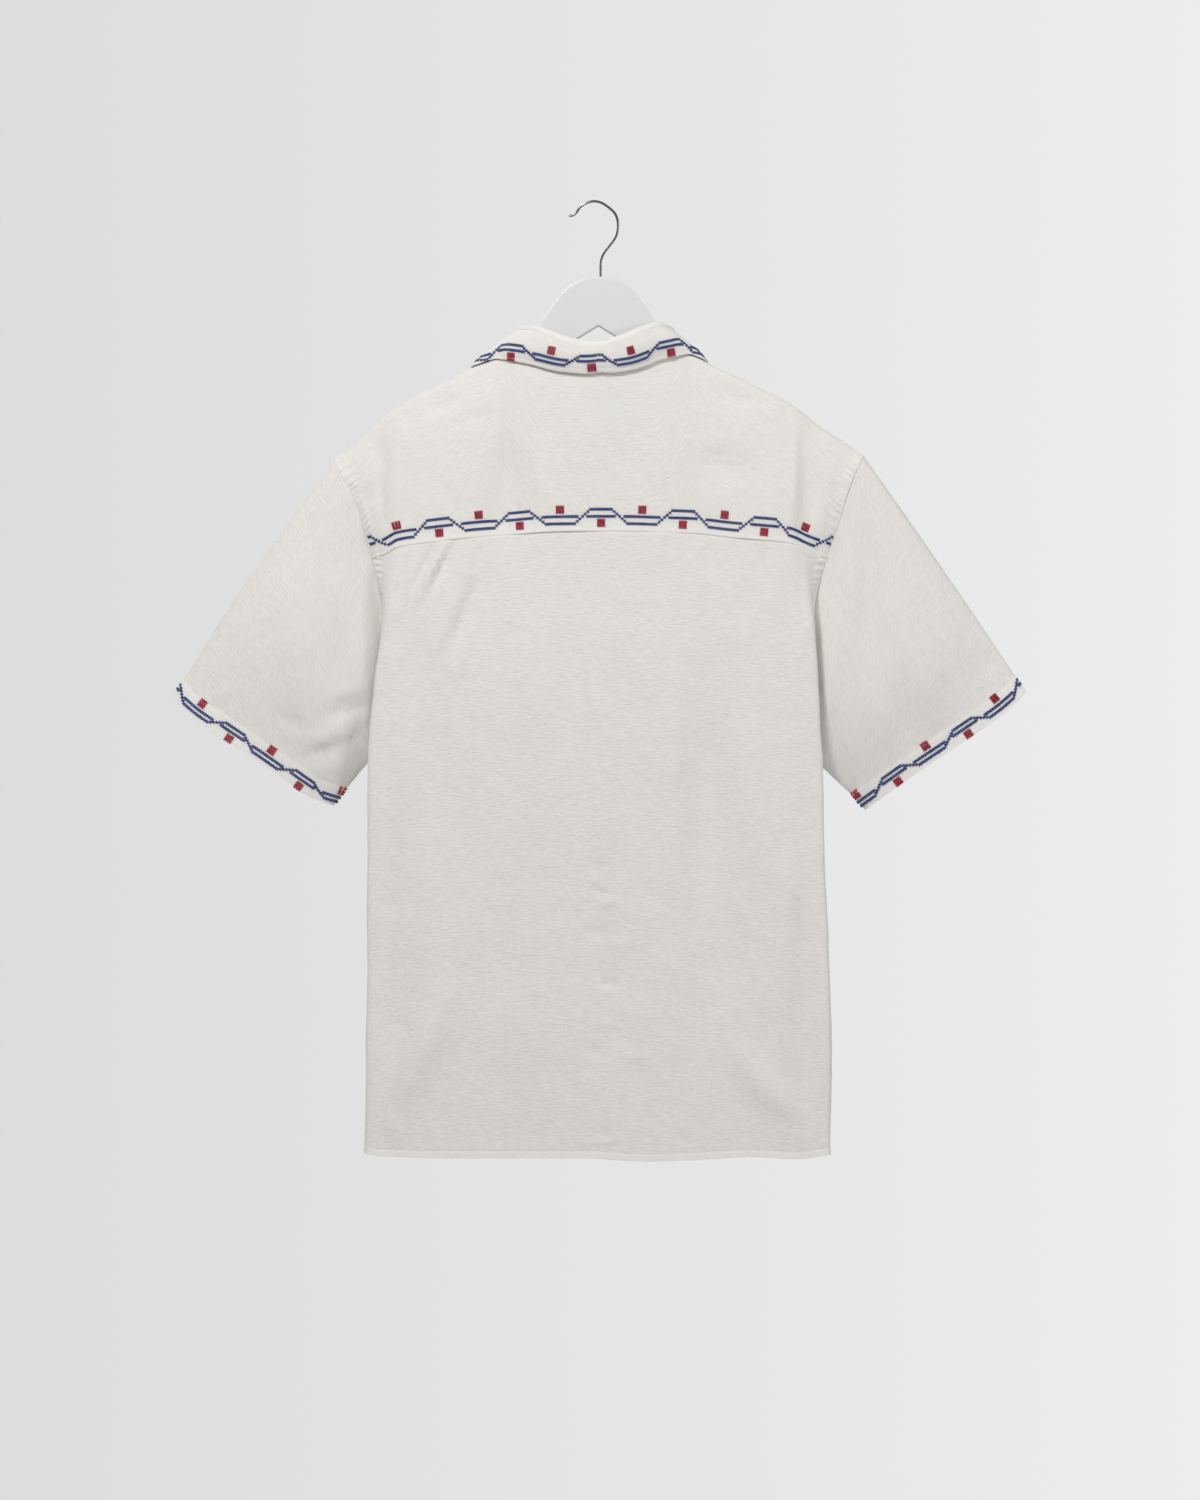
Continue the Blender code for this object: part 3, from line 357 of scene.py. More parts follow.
# One cross, the straight line's height over the edge, the place of an upper step's middle (x, or
# for the cuffs the run from the top fold), and in crosses a step's height
YOKE_BORDER = (2.5, 14.2, 1.0, 2.7)
COLLAR_BORDER = (2.545, 12.6, -8.4, 1.95)
CUFF_BORDER = {LEFT: (2.58, 9.4, 71.5, 1.8), RIGHT: (2.60, 10.2, 72.0, 1.8)}

# Threads: radius, reach and arch in a cross, the squares' share of that radius, how flat they
# lie, and the machine stitches
CROSS_RADIUS, CROSS_REACH, CROSS_ARCH = 0.6, 1.03, 0.3
SQUARE_THREAD, THREAD_FLAT = 0.92, 0.8
STITCH_LENGTH, STITCH_GAP, STITCH_RADIUS = 2.3, 0.7, 0.2

# Cloth colours: between the slubs, on them, where it lies double, and over the label
CLOTH_PALE, CLOTH_DEEP = (0.80, 0.782, 0.75), (0.70, 0.672, 0.632)
CLOTH_DOUBLED, CLOTH_OVER_LABEL = (0.845, 0.83, 0.80), (0.765, 0.75, 0.732)

# Picture and studio, in metres
PHOTO_HEIGHT, CAMERA_AWAY, CAMERA_HEIGHT = 1.425, 5.0, -0.5197
FLOOR_HEIGHT, FLOOR_RADIUS = -1.55, 1.3
ROOM_LIGHT, WARM_LIGHT = (0.42, 0.42, 0.425), (1.0, 0.990, 0.972)
# Backdrop tones for the camera: painted light, paler from left to right as if lit from the right
PAINTED_LIGHT_REACH, PAINTED_LIGHT_TONES = 0.12, (0.715, 0.845)


def smoothstep(t):
    t = np.clip(t, 0.0, 1.0)
    return t * t * (3 - 2 * t)


def mix(a, b, t):
    return a + (b - a) * t


def spline(rows, column=1):
    """A smooth function of each row's first number through the numbers of one column."""
    rows = sorted(rows)
    keys = np.array([row[0] for row in rows], float)
    values = np.array([row[column] for row in rows], float)
    steps = np.diff(values) / np.diff(keys)
    slopes = np.concatenate((steps[:1], np.zeros(len(steps) - 1), steps[-1:]))
    before, after = steps[:-1], steps[1:]
    alike = before * after > 0
    slopes[1:-1][alike] = (2 * before * after)[alike] / (before + after)[alike]

    def at(key):
        key = np.clip(key, keys[0], keys[-1])
        i = np.clip(np.searchsorted(keys, key, "left") - 1, 0, len(keys) - 2)
        width = keys[i + 1] - keys[i]
        t = (key - keys[i]) / width
        return (values[i] * (1 + 2 * t) * (1 - t) ** 2 + slopes[i] * width * t * (1 - t) ** 2
                + values[i + 1] * t * t * (3 - 2 * t) + slopes[i + 1] * width * t * t * (t - 1))

    return at


def handed(rows, left, right):
    return {LEFT: spline(rows, left), RIGHT: spline(rows, right)}


crest_side = handed(CREST, 1, 2)
stand_off = {BACK: spline(DEPTH, 1), FRONT: spline(DEPTH, 2)}
fold_edge = handed(FOLD_EDGE, 1, 2)
side_seam = handed(SIDE_SEAM, 1, 2)
cuff_bow = handed(CUFF_BOW, 1, 2)
armhole_x = {hand: spline(ARMHOLE[hand], 1) for hand in (LEFT, RIGHT)}
armhole_depth = {hand: spline(ARMHOLE[hand], 2) for hand in (LEFT, RIGHT)}
yoke_seam = spline(YOKE_SEAM)
hem = spline(HEM)


def by_side_of_body(table, x, key):
    """A left and right table read at a key, on the side where x lies."""
    return np.where(x < 0, table[LEFT](key), table[RIGHT](key))


def crest_height(x):
    return by_side_of_body(crest_side, x, abs(x))


def uneven(u, v, step_u, step_v, seed):
    """Smooth chance heights from -1 to 1 over a cloth, with one for each step."""
    heights = np.random.default_rng(seed).uniform(-1, 1, (97, 97))
    a, b = u / step_u, v / step_v
    i, j = np.floor(a).astype(int), np.floor(b).astype(int)
    f, g = smoothstep(a - i), smoothstep(b - j)

    def at(m, n):
        return heights[m % 97, n % 97]

    return mix(mix(at(i, j), at(i + 1, j), f), mix(at(i, j + 1), at(i + 1, j + 1), f), g)


def creased(rows, x, z, fade=0.45):
    """How far a table of folds pushes the cloth out at each place."""
    total = np.zeros(np.broadcast(x, z).shape)
    for x0, z0, x1, z1, width, height in rows:
        along_x, along_z = x1 - x0, z1 - z0
        length = math.hypot(along_x, along_z)
        reach = ((x - x0) * along_x + (z - z0) * along_z) / length**2
        across = (along_x * (z - z0) - along_z * (x - x0)) / length
        ends = smoothstep(reach / fade) * smoothstep((1 - reach) / fade)
        total += height * ends * np.exp(-((across / width) ** 2))
    return total


def fold_height(side, x, z):
    return creased([fold[1:] for fold in FOLDS if fold[0] == side], x, z, FOLD_ENDS)


def drop_of(turn):
    """Height lost below the shoulder line by cloth that has run that far over it."""
    quarter = CREST_ROUND * math.pi / 2
    run = abs(turn)
    curved = CREST_ROUND * (1 - np.cos(np.minimum(run, quarter) / CREST_ROUND))
    return np.where(run < quarter, curved, CREST_ROUND + run - quarter)


def turn_of(drop):
    """The run of cloth over the shoulder line that loses that much height."""
    curved = CREST_ROUND * np.arccos(1 - np.clip(drop, 0, CREST_ROUND) / CREST_ROUND)
    return np.where(drop < CREST_ROUND, curved, CREST_ROUND * (math.pi / 2 - 1) + drop)


def points_of(x, y, z):
    return np.stack(np.broadcast_arrays(x, y, z), axis=-1).astype(float)


def skin(x, turn):
    """Points of the upper shirt: turn is the run from the shoulder line, + down the back."""
    x, turn = np.broadcast_arrays(np.asarray(x, float), np.asarray(turn, float))
    back = turn > 0
    drop = drop_of(turn)
    z = crest_height(x) - drop
    cap = CREST_ROUND * np.sin(np.minimum(abs(turn) / CREST_ROUND, math.pi / 2))
    fall = np.maximum(0.0, drop - CREST_ROUND)
    stand = np.where(back, stand_off[BACK](z), stand_off[FRONT](z))
    depth = cap + (stand - CREST_ROUND) * (1 - np.exp(-fall / DROP_LENGTH))
    near = ((x - NECK_X) ** 2 + (z - NECK_BACK) ** 2) / NECK_SWELL_REACH**2
    depth = depth + NECK_SWELL * np.exp(-near) * (cap / CREST_ROUND)
    top = np.where(x < 0, ARMHOLE[LEFT][0][0], ARMHOLE[RIGHT][0][0])
    low = np.minimum(z, top)
    edge = abs(by_side_of_body(fold_edge, x, z))
    outer = abs(by_side_of_body(armhole_x, x, low))
    beyond = (abs(x) - edge) / np.maximum(outer - edge, 1.0)
    target = np.maximum(by_side_of_body(armhole_depth, x, low), cap)
    turned_in = mix(depth, target, np.sin(math.pi / 2 * np.clip(beyond, 0, 1)))
    depth = np.where(beyond > 0, turned_in, depth)
    folds = np.where(back, fold_height(BACK, x, z), fold_height(FRONT, x, z))
    depth = depth + folds * smoothstep(fall / 20) * (1 - smoothstep(beyond * 2))
    return points_of(x, np.where(back, BACK, FRONT) * depth, z)


def half_section(hand, side, z, inner_x, column, neck_share):
    """One side's cloth at a height. column runs 0 to 4: from inner_x to under the neck's corner at
    1, the upright fold's start at 2 and its end at 3, and the seam at 4."""
    middle = stand_off[side](z)
    corner_x, corner_y = fold_edge[hand](z), middle - MIDDLE_CROWN
    foot = ARMHOLE[hand][-1][0]
    seam_x = np.where(z >= foot, armhole_x[hand](z), side_seam[hand](z))
    seam_x = seam_x - hand * np.where(z >= foot, 0, SIDE_GAP / 2)
    seam_y = np.where(z >= foot, armhole_depth[hand](z), 0) + SIDE_GAP / 2
    in_run = np.hypot(inner_x - corner_x, middle - corner_y)
    out_run = np.hypot(seam_x - corner_x, seam_y - corner_y)
    step_in = np.minimum(FOLD_ROUND, in_run * 0.45) / in_run
    step_out = np.minimum(FOLD_ROUND, out_run * 0.45) / out_run
    start_x, start_y = mix(corner_x, inner_x, step_in), mix(corner_y, middle, step_in)
    end_x, end_y = mix(corner_x, seam_x, step_out), mix(corner_y, seam_y, step_out)
    share = np.where(column < 1, column * neck_share, mix(neck_share, 1, np.clip(column, 1, 2) - 1))
    flat_x = mix(inner_x, start_x, share)
    flat_y = middle - MIDDLE_CROWN * (flat_x / corner_x) ** 2
    t, s = np.clip(column - 2, 0, 1), np.clip(column - 3, 0, 1)
    bend_x = start_x * (1 - t) ** 2 + corner_x * 2 * t * (1 - t) + end_x * t * t
    bend_y = start_y * (1 - t) ** 2 + corner_y * 2 * t * (1 - t) + end_y * t * t
    x = np.where(column < 2, flat_x, np.where(column < 3, bend_x, mix(end_x, seam_x, s)))
    y = np.where(column < 2, flat_y, np.where(column < 3, bend_y, mix(end_y, seam_y, s)))
    y = y + fold_height(side, x, z) * (1 - smoothstep(column - 1.67))
    return points_of(x, side * y, z)


def stations(*parts):
    """Column or row numbers: each part is (from, to, faces), and they follow on."""
    runs = [np.linspace(a, b, faces, endpoint=False) for a, b, faces in parts]
    return np.concatenate((*runs, [parts[-1][1]]))


BODY_COLUMNS = stations((0, 1, 33), (1, 2, 29), (2, 3, 6), (3, 4, 11))
FRONT_COLUMNS = stations((0, 0.17, 10), (0.17, 1, 27), (1, 2, 29), (2, 3, 6), (3, 4, 9))
LEVEL_START = -338.5
UPPER_FRONT_SHARES = stations((0, 0.06, 6), (0.06, 1, 46))[:-1]
BACK_SHARE, FRONT_SHARE = 7 / 13, 0.5


def back_grid():
    """The back below the yoke, rows down from under the yoke's seam, columns from left to right."""
    share = stations((0, 0.03, 12), (0.03, 0.37, 112), (0.37, 0.97, 96), (0.97, 1, 12))[:, None]
    halves = []
    for hand in (LEFT, RIGHT):
        columns = BODY_COLUMNS[None, :]
        level = half_section(hand, BACK, np.full((1, 1), LEVEL_START), 0.0, columns, BACK_SHARE)
        low = half_section(hand, BACK, np.full((1, 1), HEM[3][1]), 0.0, columns, BACK_SHARE)
        z = mix(yoke_seam(level[..., 0]) + SEAM_TUCK, hem(low[..., 0]), share)
        halves.append(half_section(hand, BACK, z, 0.0, columns, BACK_SHARE))
    return np.concatenate((halves[0][:, ::-1], halves[1][:, 1:]), axis=1)


def neck_back(hand, around):
    """The yoke's neckline as x and turn: around runs 0 at the middle to 1 at the front seam."""
    angle = around * math.pi / 2
    deepest = turn_of(crest_height(np.float64(NECK_X)) - NECK_BACK)
    fall = np.maximum(np.cos(angle), 0) ** NECK_SQUARE
    return NECK_X + hand * NECK_HALF * np.sin(angle), -NECK_WRAP + (deepest + NECK_WRAP) * fall


def front_seam(hand, column):
    """The yoke's front seam as x and turn, for columns 1 at the neck to 4 at the armhole."""
    corner = NECK_X + hand * NECK_HALF
    ridge = fold_edge[hand](SEAM_BEND_HEIGHT)
    outer = armhole_x[hand](ARMHOLE[hand][0][0] - drop_of(ARM_WRAP))
    bend = hand * SEAM_BEND_HALF
    x = np.interp(column, (1, 2, 3, 4), (corner, ridge - bend, ridge + bend, outer))
    return x, -mix(NECK_WRAP, ARM_WRAP, (x - corner) / (outer - corner))


def seam_ease(columns):
    """How much of a seam's shift each column takes: all of it on the seam, none by the fold."""
    away = np.where(columns > 3, (4 - columns) * 2, 2 + (3 - columns) * 3)
    return 1 - smoothstep(away / 5)


def seat_on_armhole(grid, hand, edge, z, side):
    """Lays an end column on the armhole seam and eases the next columns after it."""
    target = points_of(armhole_x[hand](z), side * armhole_depth[hand](z), z)
    shift = target - grid[:, edge]
    ease = seam_ease(BODY_COLUMNS)
    if edge == 0:
        grid[:, :len(ease)] += shift[:, None, :] * ease[::-1][None, :, None]
    else:
        grid[:, -len(ease):] += shift[:, None, :] * ease[None, :, None]


def yoke_grid(seam_row):
    """The yoke: rows run from its front seams and the neckline over the shoulders to the back."""
    rows = stations((0, 1, 10), (1, 2, 12), (2, 3, 92))[:, None]
    halves = []
    for hand in (LEFT, RIGHT):
        count = len(BODY_COLUMNS)
        seam = seam_row[:count][::-1] if hand == LEFT else seam_row[-count:]
        column = BODY_COLUMNS[None, :]
        x, z = seam[None, :, 0], seam[None, :, 2] - SEAM_TUCK
        goal = turn_of(crest_height(x) - z)
        neck_x, neck_turn = neck_back(hand, np.minimum(column, 1))
        seam_x, seam_turn = front_seam(hand, column)
        in_neck = column < 1
        top_x = np.where(in_neck, neck_x, seam_x)
        start = np.where(in_neck, -NECK_WRAP, seam_turn)
        turn = np.where(rows < 1, mix(start, 0, rows),
                        np.where(rows < 2, ARM_WRAP * (rows - 1),
                                 mix(ARM_WRAP, goal, np.maximum(rows, 2) - 2)))
        share = np.clip((turn - start) / (goal - start), 0, 1)
        turn = np.where(in_neck, mix(neck_turn, goal, share), turn)
        place = skin(mix(top_x, x, share**0.5), turn)
        place[..., 1] += (seam[None, :, 1] - skin(x, goal)[..., 1]) * smoothstep(share)
        halves.append(place)
    grid = np.concatenate((halves[0][:, ::-1], halves[1][:, 1:]), axis=1)
    rows = rows[:, 0]
    for hand, edge in ((LEFT, 0), (RIGHT, -1)):
        top = ARMHOLE[hand][0][0]
        front = top - drop_of(ARM_WRAP)
        low = seam_row[edge][2] - SEAM_TUCK
        z = np.where(rows < 1, top - drop_of(ARM_WRAP * (1 - rows)),
                     np.where(rows < 2, top - drop_of(ARM_WRAP * (rows - 1)),
                              mix(front, low, np.maximum(rows, 2) - 2)))
        seat_on_armhole(grid, hand, edge, z, np.where(rows < 1, FRONT, BACK))
    return grid


def lap_tuck(x):
    """How far the right front lies below the left one, under the lap."""
    return LAP_STEP * (1 - smoothstep((x - LAP - 2) / LAP_BLEND))


def front_neck(hand, column):
    """The front neckline as x and height: columns 0 at the lap's edge to 1 at the neck's corner."""
    corner_x, corner_turn = front_seam(hand, 1.0)
    corner_z = crest_height(corner_x) - drop_of(corner_turn)
    angle = math.radians(NECK_END) * (1 - (np.clip(column * 6, 1, 6) - 1) / 5)
    x = hand * (NECK_HALF + hand * NECK_X) * np.cos(angle)
    z = mix(corner_z, NECK_FRONT, np.sin(angle) ** 1.1)
    lap = np.clip(column * 6, 0, 1)
    return mix(-hand * LAP, x, lap), z


def front_grid(hand):
    """A front: its top edge is the neckline and the yoke's front seam, its foot is the hem."""
    column = FRONT_COLUMNS[None, :]
    level = half_section(hand, FRONT, np.full((1, 1), LEVEL_START), -hand * LAP, column,
                         FRONT_SHARE)
    neck_x, neck_z = front_neck(hand, np.minimum(column, 1))
    seam_x, seam_turn = front_seam(hand, column)
    top_x = np.where(column < 1, neck_x, seam_x)
    top = np.where(column < 1, -turn_of(crest_height(neck_x) - neck_z), seam_turn + SEAM_TUCK)
    share = UPPER_FRONT_SHARES[:, None]
    x = level[..., 0]
    goal = -turn_of(crest_height(x) - LEVEL_START)
    place_x = mix(top_x, x, share**0.5)
    upper = skin(place_x, mix(top, goal, share))
    upper[..., 1] += (level[..., 1] - skin(x, goal)[..., 1]) * smoothstep(share)
    low = half_section(hand, FRONT, np.full((1, 1), HEM[3][1]), -hand * LAP, column, FRONT_SHARE)
    share = stations((0, 0.97, 158), (0.97, 1, 12))[:, None]
    z = mix(LEVEL_START, hem(low[..., 0]), share)
    grid = np.concatenate((upper, half_section(hand, FRONT, z, -hand * LAP, column, FRONT_SHARE)))
    if hand == RIGHT:
        grid[..., 1] -= lap_tuck(grid[..., 0])
    return grid


def seat_front(grid, hand):
    """Lays a front's outer edge on the armhole down to where its upright section takes over."""
    rows = len(UPPER_FRONT_SHARES)
    top = ARMHOLE[hand][0][0]
    z = mix(top - drop_of(ARM_WRAP - SEAM_TUCK), LEVEL_START, np.arange(rows) / rows)
    target = points_of(armhole_x[hand](z), armhole_depth[hand](z), z)
    shift = target - grid[:rows, -1]
    grid[:rows] += shift[:, None, :] * seam_ease(FRONT_COLUMNS)[None, :, None]


def armhole_heights(hand):
    """Heights down the armhole, from its top to its foot, where the sleeve's stations lie."""
    top, foot = ARMHOLE[hand][0][0], ARMHOLE[hand][-1][0]
    front = top - drop_of(ARM_WRAP)
    return np.array([top, top - 2.5, top - 8.5]
                    + [mix(front, LEVEL_START, s) for s in (0, 0.09, 0.2, 0.35, 0.55, 0.77, 1)]
                    + [mix(LEVEL_START, foot, s) for s in
                       (0.16, 0.32, 0.47, 0.61, 0.74, 0.85, 0.94, 1)])


SLEEVE_SIDE_FACES, SLEEVE_ROWS = 76, 84


def sleeve_grid(hand):
    """A sleeve: rings from the armhole to the cuff, from its top fold down the back and up."""
    outer, inner = (np.array(corner, float) for corner in CUFF[hand])
    heights = armhole_heights(hand)
    down = np.linspace(0, 1, SLEEVE_SIDE_FACES + 1)
    around = np.concatenate((down, down[-2::-1]))[None, :]
    side = np.concatenate((np.full(len(down), BACK), np.full(len(down) - 1, FRONT)))[None, :]
    z = np.interp(around * (len(heights) - 1), np.arange(len(heights)), heights)
    share = (heights[0] - z) / (heights[0] - heights[-1])
    even = (1 - np.cos(math.pi * around)) / 2
    t = stations((-0.008, 0.03, 8), (0.03, 0.9, SLEEVE_ROWS - 20), (0.9, 1, 12))[:, None]
    share_out = mix(share, even, smoothstep(t))
    cuff_line = inner - outer
    out_of_cuff = hand * np.array((-cuff_line[1], cuff_line[0])) / np.hypot(*cuff_line)
    across = outer + cuff_line * share_out[..., None]
    across = across + out_of_cuff * cuff_bow[hand](share_out)[..., None]
    profile = np.sqrt(np.maximum(4 * share_out * (1 - share_out), 0))
    start_x, start_y = armhole_x[hand](z), side * armhole_depth[hand](z)
    top_fold = np.array((outer[0] - armhole_x[hand](heights[0]), outer[1] - heights[0]))
    top_fold = top_fold / np.hypot(*top_fold)
    bow = SLEEVE_BOW[hand] * np.sin(math.pi * np.clip(t, 0, 1)) * (1 - share_out) ** 3
    x = mix(start_x, across[..., 0], t) - hand * top_fold[1] * bow
    height = mix(z, across[..., 1], t) + hand * top_fold[0] * bow
    y = mix(start_y, side * CUFF_HALF * profile, smoothstep(t))
    y = y + side * SLEEVE_SWELL * profile**2 * np.sin(math.pi * np.clip(t, 0, 1)) ** 2
    fullness = np.exp(-(((around - 0.72) / 0.2) ** 2)) * np.exp(-(((t - 0.16) / 0.13) ** 2))
    y = y + side * SLEEVE_FILL * fullness * smoothstep(t * 12)
    near = smoothstep(t * 6) * smoothstep((1 - t) * 5 + 0.25)
    rows = [row for row in SLEEVE_FOLDS + SLEEVE_CREASES if row[0] == hand]
    for facing in (BACK, FRONT):
        folds = creased([row[2:] for row in rows if row[1] == facing], x, height)
        y = y + np.where(side == facing, facing * folds, 0) * near * profile
    return points_of(x, y, height)


def neck_point(key):
    """Points of the neck seam for the collar's key."""
    hand = np.where(key > 0, LEFT, RIGHT)
    behind = np.abs(key) <= NECK_CORNER_KEY
    points = np.zeros((len(key), 3))
    for side in (LEFT, RIGHT):
        mine = hand == side
        x, turn = neck_back(side, np.abs(key[mine & behind]) / NECK_CORNER_KEY)
        points[mine & behind] = skin(x, turn)
        ahead = mine & ~behind
        run = (COLLAR_END - np.abs(key[ahead])) / (COLLAR_END - NECK_CORNER_KEY)
        x, z = front_neck(side, (1 + run * 5) / 6)
        place = skin(x, -turn_of(crest_height(x) - z))
        if side == RIGHT:
            place[:, 1] -= lap_tuck(place[:, 0])
        points[ahead] = place
    return points


def skin_normal(x, turn):
    across = skin(x + 2, turn) - skin(x - 2, turn)
    down = skin(x, turn + 2) - skin(x, turn - 2)
    normal = np.cross(down, across)
    return normal / np.linalg.norm(normal, axis=-1, keepdims=True)


def unit(vectors):
    return vectors / np.linalg.norm(vectors, axis=-1, keepdims=True)


COLLAR_COLUMN_FACES = 232
STAND_ROWS, ROLL_ROWS, FALL_ROWS = 9, 12, 26


def collar_grid():
    """The collar: columns stand on the neck seam, rows go over the roll to the outer edge."""
    key = np.linspace(COLLAR_END, -COLLAR_END, COLLAR_COLUMN_FACES + 1)
    table = {name: spline(COLLAR, n)(key) for n, name in enumerate(COLLAR_COLUMNS)}
    seam = neck_point(key)
    roll = points_of(table["roll_x"], table["roll_y"], table["roll_z"])
    edge = skin(table["edge_x"], table["edge_turn"])
    edge += skin_normal(table["edge_x"], table["edge_turn"]) * table["off"][:, None]
    angle, radius = np.radians(table["plan_angle"]), table["radius"][:, None]
    outward = points_of(-np.sin(angle), -np.cos(angle), np.zeros(len(key)))
    down = unit(seam - roll) + unit(edge - roll)
    up = -unit(down - outward * (down * outward).sum(axis=1, keepdims=True))
    centre = roll - up * radius
    inner, outer = centre - outward * radius, centre + outward * radius
    foot = seam - unit(roll - seam) * 0.6
    rows = [mix(foot, inner, n / STAND_ROWS) for n in range(STAND_ROWS)]
    for n in range(ROLL_ROWS + 1):
        turn = math.pi * n / ROLL_ROWS
        rows.append(centre - outward * radius * math.cos(turn) + up * radius * math.sin(turn))
    for n in range(1, FALL_ROWS + 1):
        t = n / FALL_ROWS
        rows.append(mix(outer, edge, t) + outward * FALL_BULGE * math.sin(math.pi * t))
    return np.array(rows)


def run_along(grid, axis):
    """Length of cloth from the first row or column to each point."""
    steps = np.linalg.norm(np.diff(grid, axis=axis), axis=-1)
    pad = [(0, 0), (0, 0)]
    pad[axis] = (1, 0)
    return np.pad(np.cumsum(steps, axis=axis), pad)


def from_end(run, axis):
    return run.take([-1], axis=axis) - run


def outward(grid, flip, ring=False):
    """Directions out of the cloth's outer face."""
    across = np.gradient(grid, axis=1)
    if ring:
        across[:, 0] = across[:, -1] = (across[:, 0] + across[:, -1]) / 2
    normal = np.cross(across, np.gradient(grid, axis=0))
    return unit(normal) * (-1 if flip else 1)


def tucked(distance):
    """A seam's under edge, which dips below the upper one."""
    return -TUCK_DEPTH * (1 - smoothstep(distance / TUCK_EASE))


def within(distance, band, fade=1.5):
    """1 where an edge's doubled cloth lies, easing to 0 at its stitching."""
    return smoothstep((band - distance) / fade)


def ridge(distance, middle, width):
    """1 on a line that far from an edge, falling away on both sides of it."""
    return np.exp(-(((distance - middle) / width) ** 2))


def pinched(distance, along, band, seed):
    """A topstitched double edge: raised, dipped at its stitching and drawn into small puckers."""
    drift = 3.2 * uneven(along, distance * 0, 17, 10, seed)
    puckers = np.sin(along * (2 * math.pi / PUCKER_STEP) + drift + distance * 0.12)
    puckers = puckers * (0.55 + 0.45 * uneven(along, distance * 0, 11, 10, seed + 2))
    puckers = puckers + 0.6 * uneven(along, distance, PUCKER_STEP * 2.1, 14, seed + 1)
    return (BAND_RISE * within(distance, band, 1.6) - BAND_DIP * ridge(distance, band - 0.8, 0.9)
            + PUCKER_HEIGHT * ridge(distance, band * 0.55, band * 0.42) * puckers)


def turned_up(distance, band, along, seed, rise=HEM_RISE):
    """A turned-up hem: two layers as far as its stitching, slightly drawn in there."""
    return (rise * within(distance, band, 1.4) - HEM_DIP * ridge(distance, band - 0.6, 0.8)
            + HEM_RIPPLE * ridge(distance, band, 6) * uneven(along, distance, 5.5, 12, seed))


def rumpled(u, v, seed):
    """The small unevenness that worn-in cotton has all over."""
    return (0.62 * uneven(u, v, 33, 52, seed) + 0.25 * uneven(u + v * 0.3, v, 14, 17, seed + 1)
            + 0.07 * uneven(u, v, 5, 6, seed + 2))


def beside_armhole(z):
    """1 at the armhole's heights, easing to 0 below its foot."""
    return smoothstep((z - ARM_BAND_END) / ARM_BAND_FADE)


def side_valley(distance):
    """The soft dip along a side seam."""
    return SIDE_DIP * np.exp(-distance / SIDE_DIP_WIDTH)


class Cloth:
    """One cut piece: its outer face as points by row and column, the directions out of it, the
    runs of cloth from its four edges, and the tones that its finish reads."""

    def __init__(self, grid, flip, ring=False, wall=CLOTH_WALL, lift=0.0):
        self.flip, self.ring, self.wall = flip, ring, wall
        self.out = outward(grid, flip, ring)
        self.grid = grid + self.out * lift
        self.across, self.down = run_along(self.grid, 1), run_along(self.grid, 0)
        self.far, self.up = from_end(self.across, 1), from_end(self.down, 0)
        self.x, self.z = self.grid[..., 0], self.grid[..., 2]
        self.tones = {}

    def push_out(self, relief):
        self.grid = self.grid + self.out * relief[..., None]


def back_cloth():
    """The back: creases, top edge tucked under the yoke, armhole bands and turned-up hem."""
    cloth = Cloth(back_grid(), True)
    x, z = cloth.x, cloth.z
    middle = 1 - smoothstep((abs(x) - BACK_MIDDLE) / BACK_MIDDLE_FADE)
    relief = creased(BACK_CREASES, x, z) * mix(BACK_SIDE_SHARE, BACK_MIDDLE_SHARE, middle)
    relief += rumpled(x, z, 11)
    relief += tucked(cloth.down) + turned_up(cloth.up, HEM_BAND, x, 31)
    beside = beside_armhole(z)
    for edge, seed in ((cloth.across, 21), (cloth.far, 23)):
        relief += pinched(edge, z, ARM_BAND, seed) * beside - side_valley(edge) * (1 - beside)
    cloth.push_out(relief)
    arms = within(np.minimum(cloth.across, cloth.far), ARM_BAND)
    cloth.tones["layers"] = (PALER["hem"] * within(cloth.up, HEM_BAND)
                             + PALER["armhole"] * beside * arms)
    return cloth


def yoke_cloth():
    """The yoke: creases behind, armhole bands, the ridge over its seam and the label's shade."""
    cloth = Cloth(yoke_grid(back_grid()[0]), True)
    x, z, up = cloth.x, cloth.z, cloth.up
    behind = smoothstep(-cloth.grid[..., 1] / 12)
    relief = creased(YOKE_CREASES, x, z) * behind * YOKE_SHARE + rumpled(x, z, 41) * 0.8
    calm = 1 - BORDER_CALM * within(up, BORDER_DEPTH, 4)
    for edge, seed in ((cloth.across, 43), (cloth.far, 45)):
        relief += pinched(edge, cloth.down, ARM_BAND, seed) * calm
    cloth.push_out(relief + YOKE_RIDGE * ridge(up, 1.3, 1.2))
    arms = within(np.minimum(cloth.across, cloth.far), ARM_BAND)
    cloth.tones["layers"] = (PALER["armhole"] * arms
                             + PALER["yoke seam"] * within(up, YOKE_SEAM_DEPTH, 2))
    beyond = np.maximum(abs(x - LABEL_MIDDLE[0]) - LABEL_SIZE[0] / 2,
                        abs(z - LABEL_MIDDLE[1]) - LABEL_SIZE[1] / 2)
    cloth.tones["through"] = (1 - smoothstep((beyond + 1) / 3)) * behind
    return cloth


